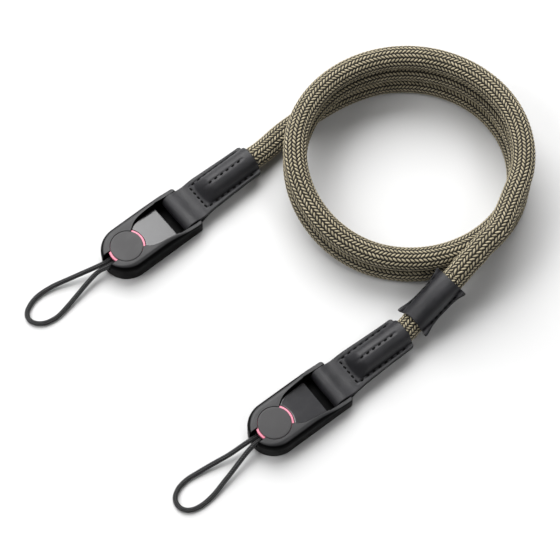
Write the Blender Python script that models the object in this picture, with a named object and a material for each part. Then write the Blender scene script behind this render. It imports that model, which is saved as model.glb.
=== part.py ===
"""Camera neck strap: a braided rope that lies in a coil, with a leather tab, a quick-release
buckle and a thin cord loop at each end, and a leather keeper on the rope.

Metres, +Z up, the strap lies on the plane z = 0. The origin is the middle of its box.
Each end has a frame of its own: u runs from the disc towards the rope, v is to the left, z is up.
"""
import math

import bmesh
import bpy
import numpy as np
from mathutils import Matrix, Vector

# Fits
GAP = 0.0003                      # clearance between pieces that touch
ROPE_FIT = 0.0006                 # room round the rope in its leather
LEATHER = 0.0013                  # thickness of one layer of leather

# Rope
ROPE_DIAMETER = 0.0115
ROPE_POINTS = 80                  # points along the rope's tube
COIL_CENTRE = (0.04425, 0.04395)
COIL_HALF_WIDTH = 0.0553
COIL_HALF_DEPTH = 0.0522
COIL_START_DEGREES = 116.0        # where the rope joins the coil, counted from +X
COIL_SWEEP_DEGREES = 862.0        # how far it winds, clockwise seen from above
COIL_RISE_FROM_DEGREES = 100.0    # each turn climbs to the next level between these two
COIL_RISE_OVER_DEGREES = 95.0
COIL_POINTS_PER_TURN = 27

# Tab of leather, lengths along u from the bar's centre
TAB_HALF_WIDTH = 0.0100           # between the arms of the housing
TAB_MOUTH_HALF_WIDTH = 0.0089
TAB_SEAM = 0.0110                 # bar to the seam that crosses the tab
TAB_REACH = 0.0440                # bar to the mouth, where the rope comes out
TAB_SHOULDER = 0.0050             # length over which the leather climbs onto the rope's end
TAB_CORNER = 0.0016               # roundness of the mouth's corners
FOLD_DEGREES = (10, 30, 50, 70, 90)                   # stations round the bar
TAPER_SHARES = (0.2, 0.4, 0.6, 0.8, 1.0)              # stations from the bar to the seam
SHOULDER_SHARES = (0.0, 0.25, 0.5, 0.75, 1.0)         # stations over the shoulder
BARREL_SHARES = (0.33, 0.66)                          # stations along the rope's end
CORNER_DEGREES = (0, 45, 80)                          # stations round the mouth's corner
CORNER_SQUARENESS = 0.6                               # share of a full round in the outline

# Stations across the leather, as shares of its half width from the middle to the edge
LEATHER_SHARES = (0.17, 0.34, 0.50, 0.64, 0.76, 0.85, 0.93, 1.0)
LEATHER_BLEND = 3                 # the higher, the tighter the crease beside the bulge

# Buckle housing, lengths along u from the disc's centre
BAR_DISTANCE = 0.0330
BAR_RADIUS = 0.0026
BAR_HEIGHT = 0.0049
ARM_OVERHANG = 0.0046             # how far the side arms run past the bar
HOUSING_HALF_WIDTH = 0.0125
HOUSING_NOSE = 0.0130             # disc centre to the round end
HOUSING_HEIGHT = 0.0115
ARM_HEIGHT = 0.0077               # top of the side arms at the bar end
FLOOR_THICKNESS = 0.0012          # thin floor from the ramp's low end towards the leather
FLOOR_CLEARANCE = 0.0007          # between that floor and the fold in the leather
SHOULDER_DEPTH = 0.0033
SHOULDER_INSET = 0.0032
NOSE_INSET = 0.0016
FOOT_EDGE = 0.0008
LEAST_SHOULDER = 0.2              # share of the shoulder that is left where the arms are low
SLOPE_START = 0.0150              # the top starts to fall here
RAMP_END = 0.0244
RAMP_THICKNESS = 0.0015
RAMP_LOW = 0.0058                 # top of the ramp at its low end
RAMP_FRONT_SHARE = 0.60           # half width of the ramp's front over the radius it curves round
RAMP_STEPS = (10, 8)              # faces across and along

# Outline of the housing: the round nose, then stations along the arms as shares of their end
NOSE_DEGREES = (176, 90)          # first and last point of the nose's quarter, counted from +u
NOSE_STEPS = 12
ARM_SHARES = (0.14, 0.27, 0.40, 0.51, 0.62, 0.73, 0.84, 0.92)
ARM_TIP = ((0.965, 0.78), (0.99, 0.55))               # share of the end, share of the wall
ARM_TIP_INSET = (0.1, 0.2)        # how far the top rim draws in there, in shares of the wall
SHOULDER_DEGREES = (0, 30, 60, 90)

# Disc anchor
DISC_RADIUS = 0.0080
DISC_PLATE = 0.0009
DISC_EDGE = 0.0003
RING_RADIUS = 0.0088
RING_THICKNESS = 0.0013
HUB_RADIUS = 0.0045
HUB_DEPTH = 0.0033
CORD_DIAMETER = 0.0024
SLOT_WIDTH = 0.0060
DISC_SIDES = 40

# Keeper
KEEPER_LENGTH = 0.0260
KEEPER_WAIST_HALF_WIDTH = 0.0081
KEEPER_END_HALF_WIDTH = 0.0090
KEEPER_UPPER = (0.06370, -0.01965, 0.0184)
KEEPER_LOWER = (0.04570, -0.03675, 0.0094)
KEEPER_CORNER = 0.0006
KEEPER_SHARES = (-1.0, -0.97, -0.8, -0.5, 0.0, 0.5, 0.8, 0.97, 1.0)    # stations along it

# Half width of the window in the housing, at stations along u, as shares:
# column 1 is u over RAMP_END, column 2 is the half width over the gap between the arms
WINDOW_STATIONS = [
    (0.24, 0.45),
    (0.31, 0.57),
    (0.38, 0.69),
    (0.46, 0.785),
    (0.57, 0.855),
    (0.74, 0.905),
    (1.02, 0.970),
    (1.12, 0.980),
]

# Where the two leather mouths lie and which way each end points from its disc to its mouth
ENDS = {
    "left": {"mouth": (-0.03285, 0.05045), "heading": 39.3},
    "right": {"mouth": (0.04025, -0.04215), "heading": 37.6},
}

# Free stretches of the rope, chosen by hand: x, y, z
ROPE_ENTRY = [
    (-0.02850, 0.05425, 0.00670),
    (-0.02410, 0.05865, 0.00610),
    (-0.01720, 0.06565, 0.00575),
    (-0.00830, 0.07295, 0.00575),
    (-0.00125, 0.07835, 0.00575),
    (0.00930, 0.08545, 0.00575),
]
ROPE_EXIT = [
    (0.08645, 0.00355, 0.02930),
    (0.08205, -0.00175, 0.02880),
    (0.07765, -0.00615, 0.02740),
    (0.07435, -0.00975, 0.02580),
    (0.07105, -0.01265, 0.02370),
    (0.06715, -0.01645, 0.02105),
]

# The two cord loops, chosen by hand in each end's own frame: u, v, z
CORD_LOOPS = {
    "left": [
        (-0.0047, 0.00135, 0.0069),
        (-0.0085, 0.00135, 0.0069),
        (-0.0130, 0.0015, 0.0068),
        (-0.0186, 0.0034, 0.0052),
        (-0.0293, 0.0068, 0.0032),
        (-0.0394, 0.0096, 0.0019),
        (-0.0483, 0.0101, 0.0013),
        (-0.0552, 0.0075, 0.0012),
        (-0.0577, 0.0038, 0.0012),
        (-0.0567, -0.0002, 0.0012),
        (-0.0527, -0.0034, 0.0012),
        (-0.0465, -0.0045, 0.0012),
        (-0.0404, -0.0036, 0.0015),
        (-0.0327, -0.0020, 0.0024),
        (-0.0247, -0.0004, 0.0038),
        (-0.0180, 0.0003, 0.0052),
        (-0.0130, -0.0011, 0.0068),
        (-0.0085, -0.00135, 0.0069),
        (-0.0047, -0.00135, 0.0069),
    ],
    "right": [
        (-0.0047, 0.00135, 0.0069),
        (-0.0085, 0.00135, 0.0069),
        (-0.0130, 0.0014, 0.0068),
        (-0.0170, 0.0019, 0.0055),
        (-0.0250, 0.0027, 0.0036),
        (-0.0329, 0.0040, 0.0024),
        (-0.0411, 0.0051, 0.0015),
        (-0.0473, 0.0056, 0.0012),
        (-0.0527, 0.0046, 0.0012),
        (-0.0567, 0.0019, 0.0012),
        (-0.0580, -0.0018, 0.0012),
        (-0.0569, -0.0053, 0.0012),
        (-0.0537, -0.0077, 0.0012),
        (-0.0486, -0.0086, 0.0012),
        (-0.0419, -0.0080, 0.0015),
        (-0.0349, -0.0063, 0.0024),
        (-0.0283, -0.0047, 0.0036),
        (-0.0213, -0.0029, 0.0051),
        (-0.0170, -0.0019, 0.0059),
        (-0.0130, -0.0014, 0.0068),
        (-0.0085, -0.00135, 0.0069),
        (-0.0047, -0.00135, 0.0069),
    ],
}
CORD_POINTS = 44

# Fineness of the solids
SHARP_DEGREES = 35                # edges that turn more than this are drawn sharp
ROUTE_SAMPLES = 16                # points worked out between two given ones
HOLE_SIDES = 24
SOCKET_SIDES = 48
ROPE_RESOLUTION = 4
CORD_RESOLUTION = 2

# Sizes and heights that follow from those above
ROPE_RADIUS = ROPE_DIAMETER / 2
LEVEL_PITCH = ROPE_DIAMETER + GAP
BORE_RADIUS = ROPE_RADIUS + ROPE_FIT
BULGE_RADIUS = BORE_RADIUS + LEATHER
LOOP_RADIUS = BAR_RADIUS + GAP + LEATHER
DISC_TOP = HOUSING_HEIGHT
RING_TOP = DISC_TOP - DISC_PLATE - GAP
RING_LOW = RING_TOP - RING_THICKNESS
SOCKET_FLOOR = RING_LOW - GAP
HUB_LOW = RING_LOW - HUB_DEPTH
WELL_FLOOR = HUB_LOW - GAP
SOCKET_RADIUS = RING_RADIUS + GAP
RAMP_SLOPE = (RING_TOP - RAMP_LOW) / (RAMP_END - SOCKET_RADIUS)
ARM_INNER = TAB_HALF_WIDTH + GAP
HOUSING_END = BAR_DISTANCE + ARM_OVERHANG
FLOOR_DROP = BAR_HEIGHT - FLOOR_THICKNESS
FLOOR_END = BAR_DISTANCE - math.sqrt(max((LOOP_RADIUS + FLOOR_CLEARANCE)**2 - FLOOR_DROP**2, 0.0))
TAB_MIDDLE = BULGE_RADIUS         # height of the rope's centre inside the tab
SEAM_DISTANCE = BAR_DISTANCE + TAB_SEAM
MOUTH_DISTANCE = BAR_DISTANCE + TAB_REACH


def clear_scene():
    for item in list(bpy.data.objects):
        bpy.data.objects.remove(item, do_unlink=True)


def plain_material(name, colour, roughness, metallic=0.0):
    material = bpy.data.materials.new(name)
    material.use_nodes = True
    shader = material.node_tree.nodes["Principled BSDF"]
    shader.inputs["Base Color"].default_value = (*colour, 1.0)
    shader.inputs["Roughness"].default_value = roughness
    shader.inputs["Metallic"].default_value = metallic
    return material


def add_object(name, data, parent=None):
    item = bpy.data.objects.new(name, data)
    bpy.context.scene.collection.objects.link(item)
    item.parent = parent
    return item


def add_mesh(name, vertices, faces, parent=None):
    """A closed mesh from vertices and faces, its faces turned outwards and shaded smooth."""
    mesh = bpy.data.meshes.new(name)
    mesh.from_pydata([tuple(float(c) for c in v) for v in vertices], [], faces)
    shape = bmesh.new()
    shape.from_mesh(mesh)
    bmesh.ops.recalc_face_normals(shape, faces=shape.faces)
    shape.to_mesh(mesh)
    shape.free()
    mesh.shade_smooth()
    mesh.set_sharp_from_angle(angle=math.radians(SHARP_DEGREES))
    return add_object(name, mesh, parent)


def cutter(name, vertices, faces, parent):
    item = add_mesh(name, vertices, faces, parent)
    item.hide_render = True
    item.display_type = "WIRE"
    return item


def combine(target, tool, operation="DIFFERENCE"):
    modifier = target.modifiers.new(tool.name, "BOOLEAN")
    modifier.operation = operation
    modifier.solver = "EXACT"
    modifier.object = tool


def smooth_step(t):
    t = min(max(t, 0.0), 1.0)
    return t * t * (3.0 - 2.0 * t)


def smooth_route(points, count):
    """Points spaced evenly along the smooth curve through the given points.

    Between two points the curve is the cubic whose slope at each is half the step between that
    point's two neighbours.
    """
    given = np.array(points, float)
    padded = np.vstack([2 * given[0] - given[1], given, 2 * given[-1] - given[-2]])
    fine = []
    for before, start, end, after in zip(padded[:-3], padded[1:-2], padded[2:-1], padded[3:]):
        t = np.linspace(0.0, 1.0, ROUTE_SAMPLES, endpoint=False)[:, None]
        slope_start = (end - before) / 2
        slope_end = (after - start) / 2
        fine.append((2 * t**3 - 3 * t**2 + 1) * start + (t**3 - 2 * t**2 + t) * slope_start
                    + (3 * t**2 - 2 * t**3) * end + (t**3 - t**2) * slope_end)
    fine.append(given[-1:])
    line = np.vstack(fine)
    along = np.concatenate([[0.0], np.cumsum(np.linalg.norm(np.diff(line, axis=0), axis=1))])
    even = np.linspace(0.0, along[-1], count)
    return np.stack([np.interp(even, along, line[:, axis]) for axis in range(3)], axis=1)


def add_tube(name, points, radius, resolution, parent=None):
    """A cord: a curve with straight runs between close points, round and with closed ends."""
    curve = bpy.data.curves.new(name, "CURVE")
    curve.dimensions = "3D"
    curve.bevel_depth = radius
    curve.bevel_resolution = resolution
    curve.use_fill_caps = True
    spline = curve.splines.new("POLY")
    spline.points.add(len(points) - 1)
    for slot, point in zip(spline.points, points):
        slot.co = (*point, 1.0)
    return add_object(name, curve, parent)


def loft(sections, close_ends):
    """Faces of a grid whose rows are rings of the same number of points.

    With close_ends "strips" a ring is left half then right half reversed, and each end is closed
    with strips between the halves. With "flat" each end is one flat face.
    """
    rows = len(sections)
    count = len(sections[0])
    faces = []
    for row in range(rows - 1):
        for k in range(count):
            nxt = (k + 1) % count
            faces.append((row * count + k, row * count + nxt, (row + 1) * count + nxt,
                          (row + 1) * count + k))
    last = (rows - 1) * count
    if close_ends == "flat":
        faces.append(tuple(range(count - 1, -1, -1)))
        faces.append(tuple(range(last, last + count)))
        return faces
    half = count // 2
    for k in range(half - 1):
        mate = count - 1 - k
        faces.append((k + 1, k, mate, mate - 1))
        faces.append((last + k, last + k + 1, last + mate - 1, last + mate))
    return faces


def cylinder_along(axis, radius, start, end, sides, centre):
    """Vertices and faces of a cylinder that lies along u (axis 0) or v (axis 1)."""
    sections = []
    for at in (start, end):
        ring = []
        for k in range(sides):
            turn = 2 * math.pi * k / sides
            side = radius * math.cos(turn)
            rise = radius * math.sin(turn)
            if axis == 0:
                ring.append((at, centre[0] + side, centre[1] + rise))
            else:
                ring.append((centre[0] - side, at, centre[1] + rise))
        sections.append(ring)
    return [p for ring in sections for p in ring], loft(sections, "flat")


def block(low, high):
    """Vertices and faces of an upright box between two corners."""
    sections = [[(low[0], low[1], z), (high[0], low[1], z), (high[0], high[1], z), (low[0], high[1], z)]
                for z in (low[2], high[2])]
    return [p for ring in sections for p in ring], loft(sections, "flat")


def turned(profile, sides):
    """A profile of (radius, z) turned round z, its first and last points on the axis."""
    inner = profile[1:-1]
    vertices = [(0.0, 0.0, profile[0][1])]
    for radius, z in inner:
        for k in range(sides):
            turn = 2 * math.pi * k / sides
            vertices.append((radius * math.cos(turn), radius * math.sin(turn), z))
    vertices.append((0.0, 0.0, profile[-1][1]))
    top = len(vertices) - 1
    faces = []
    for k in range(sides):
        nxt = (k + 1) % sides
        faces.append((0, 1 + nxt, 1 + k))
        for row in range(len(inner) - 1):
            low = 1 + row * sides
            faces.append((low + k, low + nxt, low + sides + nxt, low + sides + k))
        low = 1 + (len(inner) - 1) * sides
        faces.append((low + k, low + nxt, top))
    return vertices, faces


def housing_top(u):
    fall = smooth_step((u - SLOPE_START) / (HOUSING_END - SLOPE_START))
    return HOUSING_HEIGHT - (HOUSING_HEIGHT - ARM_HEIGHT) * fall


def shoulder_depth(u):
    """How far below the top the round shoulder starts: less and less as the top falls."""
    return max(housing_top(u) - (HOUSING_HEIGHT - SHOULDER_DEPTH), LEAST_SHOULDER * SHOULDER_DEPTH)


def ramp_top(u):
    return RING_TOP - RAMP_SLOPE * (u - SOCKET_RADIUS)


def window_half_width(u):
    stations = [row[0] * RAMP_END for row in WINDOW_STATIONS]
    widths = [row[1] * ARM_INNER for row in WINDOW_STATIONS]
    return float(np.interp(u, stations, widths))


def housing_outline():
    """Left half of the outline from the nose to the bar end, as pairs of (outer, top) points.

    The outer points are the widest outline, and the top points are the rim of the upper face.
    """
    pairs = []
    first, last = NOSE_DEGREES
    for k in range(NOSE_STEPS + 1):
        turn = math.radians(first + (last - first) * k / NOSE_STEPS)
        outer = (HOUSING_NOSE * math.cos(turn), HOUSING_HALF_WIDTH * math.sin(turn))
        top = ((HOUSING_NOSE - NOSE_INSET) * math.cos(turn),
               (HOUSING_HALF_WIDTH - SHOULDER_INSET) * math.sin(turn))
        pairs.append((outer, top))
    for share in ARM_SHARES:
        u = share * HOUSING_END
        inset = SHOULDER_INSET * shoulder_depth(u) / SHOULDER_DEPTH
        pairs.append(((u, HOUSING_HALF_WIDTH), (u, HOUSING_HALF_WIDTH - inset)))
    wall = HOUSING_HALF_WIDTH - ARM_INNER
    inset_u, inset_v = ARM_TIP_INSET
    for share_u, share_v in ARM_TIP:
        u = share_u * HOUSING_END
        v = ARM_INNER + share_v * wall
        pairs.append(((u, v), (u - inset_u * wall, v - inset_v * wall)))
    return pairs


def housing_body(name, parent):
    """The outside of the housing: rings from the foot up the side and over the round shoulder."""
    pairs = housing_outline()
    sections = []
    levels = [("foot", 0.0), ("side", 0.0)]
    levels += [("shoulder", math.radians(degrees)) for degrees in SHOULDER_DEGREES]
    for kind, turn in levels:
        half = []
        for outer, top in pairs:
            u, v = outer
            if kind == "foot":
                reach = math.hypot(u, v)
                pull = 1 - FOOT_EDGE / reach
                half.append((u * pull, v * pull, 0.0))
            elif kind == "side":
                half.append((u, v, FOOT_EDGE))
            else:
                share = 1 - math.cos(turn)
                z = housing_top(u) - shoulder_depth(u) * (1 - math.sin(turn))
                half.append((u + (top[0] - u) * share, v + (top[1] - v) * share, z))
        sections.append(half + [(u, -v, z) for u, v, z in reversed(half)])
    vertices = [p for ring in sections for p in ring]
    return add_mesh(name, vertices, loft(sections, "strips"), parent)


def window_pocket(name, parent):
    """Cuts the room over the ramp: the window's outline, with a floor that slopes as the ramp."""
    stations = [row[0] * RAMP_END for row in WINDOW_STATIONS]
    drop = RAMP_THICKNESS + GAP
    sections = []
    for level in ("floor", "sky"):
        half = []
        for u in stations:
            z = ramp_top(u) - drop if level == "floor" else HOUSING_HEIGHT + SHOULDER_DEPTH
            half.append((u, window_half_width(u), z))
        sections.append(half + [(u, -v, z) for u, v, z in reversed(half)])
    vertices = [p for ring in sections for p in ring]
    return cutter(name, vertices, loft(sections, "strips"), parent)


def strap_gap(name, parent):
    """Cuts the room for the leather between the arms, but leaves the thin floor at the ramp."""
    start = RAMP_END + GAP
    end = 2 * HOUSING_END
    low = -HOUSING_HEIGHT
    high = 2 * HOUSING_HEIGHT
    profile = [(start, FLOOR_THICKNESS), (FLOOR_END, FLOOR_THICKNESS), (FLOOR_END, low),
               (end, low), (end, high), (start, high)]
    sections = [[(u, v, z) for u, z in profile] for v in (-ARM_INNER, ARM_INNER)]
    vertices = [p for ring in sections for p in ring]
    return cutter(name, vertices, loft(sections, "flat"), parent)


def add_housing(side, parent):
    housing = housing_body(f"{side}_buckle_housing", parent)
    over = 2 * HOUSING_HEIGHT
    tools = [window_pocket(f"{side}_window_cutter", parent)]
    tools.append(strap_gap(f"{side}_strap_gap_cutter", parent))
    socket = [
        (0.0, WELL_FLOOR),
        (HUB_RADIUS + GAP, WELL_FLOOR),
        (HUB_RADIUS + GAP, SOCKET_FLOOR),
        (SOCKET_RADIUS, SOCKET_FLOOR),
        (SOCKET_RADIUS, RING_TOP + GAP),
        (DISC_RADIUS + GAP, RING_TOP + GAP),
        (DISC_RADIUS + GAP, over),
        (0.0, over),
    ]
    tools.append(cutter(f"{side}_socket_cutter", *turned(socket, SOCKET_SIDES), parent))
    tools.append(cutter(f"{side}_cord_slot_cutter",
                        *block((-2 * HOUSING_NOSE, -SLOT_WIDTH / 2, WELL_FLOOR),
                               (0.0, SLOT_WIDTH / 2, over)), parent))
    for tool in tools:
        combine(housing, tool)
    bar = cutter(f"{side}_bar",
                 *cylinder_along(1, BAR_RADIUS, -ARM_INNER - LEATHER, ARM_INNER + LEATHER,
                                 HOLE_SIDES, (BAR_DISTANCE, BAR_HEIGHT)), parent)
    combine(housing, bar, "UNION")
    return housing


def add_ramp(side, parent):
    """The sloping panel: it starts as an arc round the ring and ends straight across the window."""
    across, along = RAMP_STEPS
    front_reach = SOCKET_RADIUS + GAP
    front_v = RAMP_FRONT_SHARE * front_reach
    edge_u = math.sqrt(front_reach**2 - front_v**2)
    sheet = []
    for row in range(along + 1):
        t = row / along
        u_side = edge_u + (RAMP_END - edge_u) * t
        half = window_half_width(u_side) - GAP
        for k in range(across + 1):
            s = 2 * k / across - 1
            u_front = math.sqrt(front_reach**2 - (s * front_v)**2)
            sheet.append((u_front + (RAMP_END - u_front) * t, s * half))
    vertices = [(u, v, ramp_top(u)) for u, v in sheet]
    vertices += [(u, v, ramp_top(u) - RAMP_THICKNESS) for u, v in sheet]
    below = len(sheet)
    wide = across + 1
    faces = []
    for row in range(along):
        for k in range(across):
            a = row * wide + k
            faces.append((a, a + wide, a + wide + 1, a + 1))
            faces.append((below + a, below + a + 1, below + a + wide + 1, below + a + wide))
    edge = list(range(across + 1))
    edge += [row * wide + across for row in range(1, along + 1)]
    edge += [along * wide + k for k in range(across - 1, -1, -1)]
    edge += [row * wide for row in range(along - 1, 0, -1)]
    for a, b in zip(edge, edge[1:] + edge[:1]):
        faces.append((a, b, below + b, below + a))
    return add_mesh(f"{side}_release_ramp", vertices, faces, parent)


def add_disc(side, parent):
    """The plate that shows, on the hub that the cord comes out of."""
    plate_low = DISC_TOP - DISC_PLATE
    profile = [
        (0.0, HUB_LOW),
        (HUB_RADIUS, HUB_LOW),
        (HUB_RADIUS, plate_low),
        (DISC_RADIUS, plate_low),
        (DISC_RADIUS, DISC_TOP - DISC_EDGE),
        (DISC_RADIUS - DISC_EDGE, DISC_TOP),
        (0.0, DISC_TOP),
    ]
    return add_mesh(f"{side}_anchor_disc", *turned(profile, DISC_SIDES), parent)


def add_ring(side, parent):
    """The red layer under the plate: a flat ring round the hub."""
    corners = [(HUB_RADIUS + GAP, RING_LOW), (RING_RADIUS, RING_LOW), (RING_RADIUS, RING_TOP),
               (HUB_RADIUS + GAP, RING_TOP)]
    vertices = []
    for k in range(DISC_SIDES):
        turn = 2 * math.pi * k / DISC_SIDES
        vertices += [(r * math.cos(turn), r * math.sin(turn), z) for r, z in corners]
    faces = []
    for k in range(DISC_SIDES):
        here = 4 * k
        there = 4 * ((k + 1) % DISC_SIDES)
        for c in range(4):
            nxt = (c + 1) % 4
            faces.append((here + c, there + c, there + nxt, here + nxt))
    return add_mesh(f"{side}_anchor_ring", vertices, faces, parent)


def leather_section(half_width, flat, bulge, middle, at):
    """A ring of points across the leather: two layers, with a round bulge over what it holds.

    The half thickness at a distance v from the middle is the smooth larger of the flat thickness
    and the height of a circle of the bulge's radius.
    """
    shares = [-s for s in reversed(LEATHER_SHARES)] + [0.0] + list(LEATHER_SHARES)
    upper = []
    for share in shares:
        v = share * half_width
        arch = math.sqrt(max(bulge**2 - v**2, 0.0))
        rise = (flat**LEATHER_BLEND + arch**LEATHER_BLEND) ** (1 / LEATHER_BLEND)
        upper.append((v, rise))
    ring = [(at, v, middle + rise) for v, rise in upper]
    return ring + [(at, v, middle - rise) for v, rise in reversed(upper)]


def tab_middle(u):
    start = BAR_DISTANCE + BAR_RADIUS
    climb = smooth_step((u - start) / (TAB_SEAM + TAB_SHOULDER - BAR_RADIUS))
    return BAR_HEIGHT + (TAB_MIDDLE - BAR_HEIGHT) * climb


def tab_half_width(u):
    narrowing = smooth_step((u - BAR_DISTANCE) / TAB_REACH)
    return TAB_HALF_WIDTH - (TAB_HALF_WIDTH - TAB_MOUTH_HALF_WIDTH) * narrowing


def add_tab(side, parent):
    """Leather folded round the bar, pressed flat at the seam, then round the rope's end."""
    sections = []
    for degrees in FOLD_DEGREES:
        at = BAR_DISTANCE - LOOP_RADIUS * math.cos(math.radians(degrees))
        flat = LOOP_RADIUS * math.sin(math.radians(degrees))
        sections.append(leather_section(TAB_HALF_WIDTH, flat, 0.0, BAR_HEIGHT, at))
    for share in TAPER_SHARES:
        at = BAR_DISTANCE + share * (TAB_SEAM - LEATHER)
        flat = LEATHER + (LOOP_RADIUS - LEATHER) * (1 - smooth_step(share))
        sections.append(leather_section(tab_half_width(at), flat, 0.0, tab_middle(at), at))
    for share in SHOULDER_SHARES:
        at = SEAM_DISTANCE + share * TAB_SHOULDER
        bulge = BULGE_RADIUS * math.sqrt(1 - (1 - share)**2)
        sections.append(leather_section(tab_half_width(at), LEATHER, bulge, tab_middle(at), at))
    full = SEAM_DISTANCE + TAB_SHOULDER
    for share in BARREL_SHARES:
        at = full + share * (MOUTH_DISTANCE - TAB_CORNER - full)
        sections.append(leather_section(tab_half_width(at), LEATHER, BULGE_RADIUS, TAB_MIDDLE, at))
    for degrees in CORNER_DEGREES:
        turn = math.radians(degrees)
        at = MOUTH_DISTANCE - TAB_CORNER * (1 - math.sin(turn))
        half = tab_half_width(at) - TAB_CORNER * (1 - math.cos(turn)) * CORNER_SQUARENESS
        sections.append(leather_section(half, LEATHER, BULGE_RADIUS, TAB_MIDDLE, at))
    vertices = [p for ring in sections for p in ring]
    tab = add_mesh(f"{side}_leather_tab", vertices, loft(sections, "strips"), parent)
    wide = 2 * TAB_HALF_WIDTH
    combine(tab, cutter(f"{side}_bar_bore_cutter",
                        *cylinder_along(1, BAR_RADIUS + GAP, -wide, wide, HOLE_SIDES,
                                        (BAR_DISTANCE, BAR_HEIGHT)), parent))
    combine(tab, cutter(f"{side}_rope_bore_cutter",
                        *cylinder_along(0, BORE_RADIUS, rope_end_distance() - GAP,
                                        MOUTH_DISTANCE + ROPE_DIAMETER, HOLE_SIDES,
                                        (0.0, TAB_MIDDLE)), parent))
    return tab


def rope_end_distance():
    """Disc centre to the rope's end, just past where the leather has climbed to its full height."""
    return SEAM_DISTANCE + TAB_SHOULDER + 2 * GAP


def end_frame(side):
    """The place of a disc's centre and the turn of its end, from where the mouth is."""
    turn = math.radians(ENDS[side]["heading"])
    mouth = ENDS[side]["mouth"]
    centre = (mouth[0] - MOUTH_DISTANCE * math.cos(turn), mouth[1] - MOUTH_DISTANCE * math.sin(turn))
    return centre, turn


def place_in_end(side, point):
    centre, turn = end_frame(side)
    u, v, z = point
    return (centre[0] + u * math.cos(turn) - v * math.sin(turn),
            centre[1] + u * math.sin(turn) + v * math.cos(turn), z)


def coil_points():
    """The coil's turns: clockwise round an oval, climbing one level on the left of each turn."""
    turns = COIL_SWEEP_DEGREES / 360
    count = round(turns * COIL_POINTS_PER_TURN)
    points = []
    for k in range(count + 1):
        angle = COIL_START_DEGREES - COIL_SWEEP_DEGREES * k / count
        level = 0.0
        for lap in range(math.ceil(turns)):
            past = -COIL_RISE_FROM_DEGREES - 360 * lap - angle
            level += smooth_step(past / COIL_RISE_OVER_DEGREES)
        turn = math.radians(angle)
        points.append((COIL_CENTRE[0] + COIL_HALF_WIDTH * math.cos(turn),
                       COIL_CENTRE[1] + COIL_HALF_DEPTH * math.sin(turn),
                       ROPE_RADIUS + LEVEL_PITCH * level))
    return points


def rope_route():
    """The whole rope: out of the left tab, round the coil, through the keeper, into the right tab."""
    inside = [rope_end_distance(), MOUTH_DISTANCE - ROPE_DIAMETER, MOUTH_DISTANCE]
    route = [place_in_end("left", (u, 0.0, TAB_MIDDLE)) for u in inside]
    route += ROPE_ENTRY
    route += coil_points()
    route += ROPE_EXIT
    route += [KEEPER_UPPER, KEEPER_LOWER]
    route += [place_in_end("right", (u, 0.0, TAB_MIDDLE)) for u in reversed(inside)]
    return route


def add_keeper():
    """Two layers of leather round the rope, narrow at the waist and flared at both ends."""
    sections = []
    for share in KEEPER_SHARES:
        flare = KEEPER_END_HALF_WIDTH - KEEPER_WAIST_HALF_WIDTH
        half = KEEPER_WAIST_HALF_WIDTH + flare * share**2
        if abs(share) == 1.0:
            half -= KEEPER_CORNER
        at = share * KEEPER_LENGTH / 2
        sections.append(leather_section(half, LEATHER, BULGE_RADIUS, 0.0, at))
    vertices = [p for ring in sections for p in ring]
    keeper = add_mesh("leather_keeper", vertices, loft(sections, "strips"))
    bore = cutter("keeper_bore_cutter",
                  *cylinder_along(0, BORE_RADIUS, -KEEPER_LENGTH, KEEPER_LENGTH, HOLE_SIDES,
                                  (0.0, 0.0)), keeper)
    combine(keeper, bore)
    upper = Vector(KEEPER_UPPER)
    lower = Vector(KEEPER_LOWER)
    along = (upper - lower).normalized()
    side = Vector((0.0, 0.0, 1.0)).cross(along).normalized()
    top = along.cross(side)
    turn = Matrix((along, side, top)).transposed()
    keeper.rotation_euler = turn.to_euler()
    keeper.location = (upper + lower) / 2
    return keeper


def add_end(side):
    centre, turn = end_frame(side)
    frame = add_object(f"{side}_end", None)
    frame.location = (centre[0], centre[1], 0.0)
    frame.rotation_euler = (0.0, 0.0, turn)
    loop = smooth_route(CORD_LOOPS[side], CORD_POINTS)
    return {
        "housing": add_housing(side, frame),
        "ramp": add_ramp(side, frame),
        "disc": add_disc(side, frame),
        "ring": add_ring(side, frame),
        "tab": add_tab(side, frame),
        "cord": add_tube(f"{side}_anchor_cord", loop, CORD_DIAMETER / 2,
                         CORD_RESOLUTION, frame),
    }


COLOURS = {
    "housing": ((0.016, 0.016, 0.018), 0.42),
    "ramp": ((0.11, 0.11, 0.115), 0.30),
    "disc": ((0.045, 0.044, 0.046), 0.38),
    "ring": ((0.70, 0.07, 0.16), 0.45),
    "tab": ((0.028, 0.027, 0.029), 0.50),
    "cord": ((0.012, 0.012, 0.013), 0.80),
    "rope": ((0.21, 0.18, 0.10), 0.85),
    "keeper": ((0.028, 0.027, 0.029), 0.50),
}


def paint(item, finish):
    colour, roughness = COLOURS[finish]
    item.data.materials.append(plain_material(f"{item.name}_finish", colour, roughness))


def build():
    clear_scene()
    rope = add_tube("rope", smooth_route(rope_route(), ROPE_POINTS), ROPE_RADIUS,
                    ROPE_RESOLUTION)
    paint(rope, "rope")
    paint(add_keeper(), "keeper")
    for side in ENDS:
        for finish, item in add_end(side).items():
            paint(item, finish)


build()
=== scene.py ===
"""Looks of a camera neck strap: braided rope in a coil, stitched leather tabs and keeper,
quick-release buckles with disc anchors, and thin cord loops, on a pale table."""
import math

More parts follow.
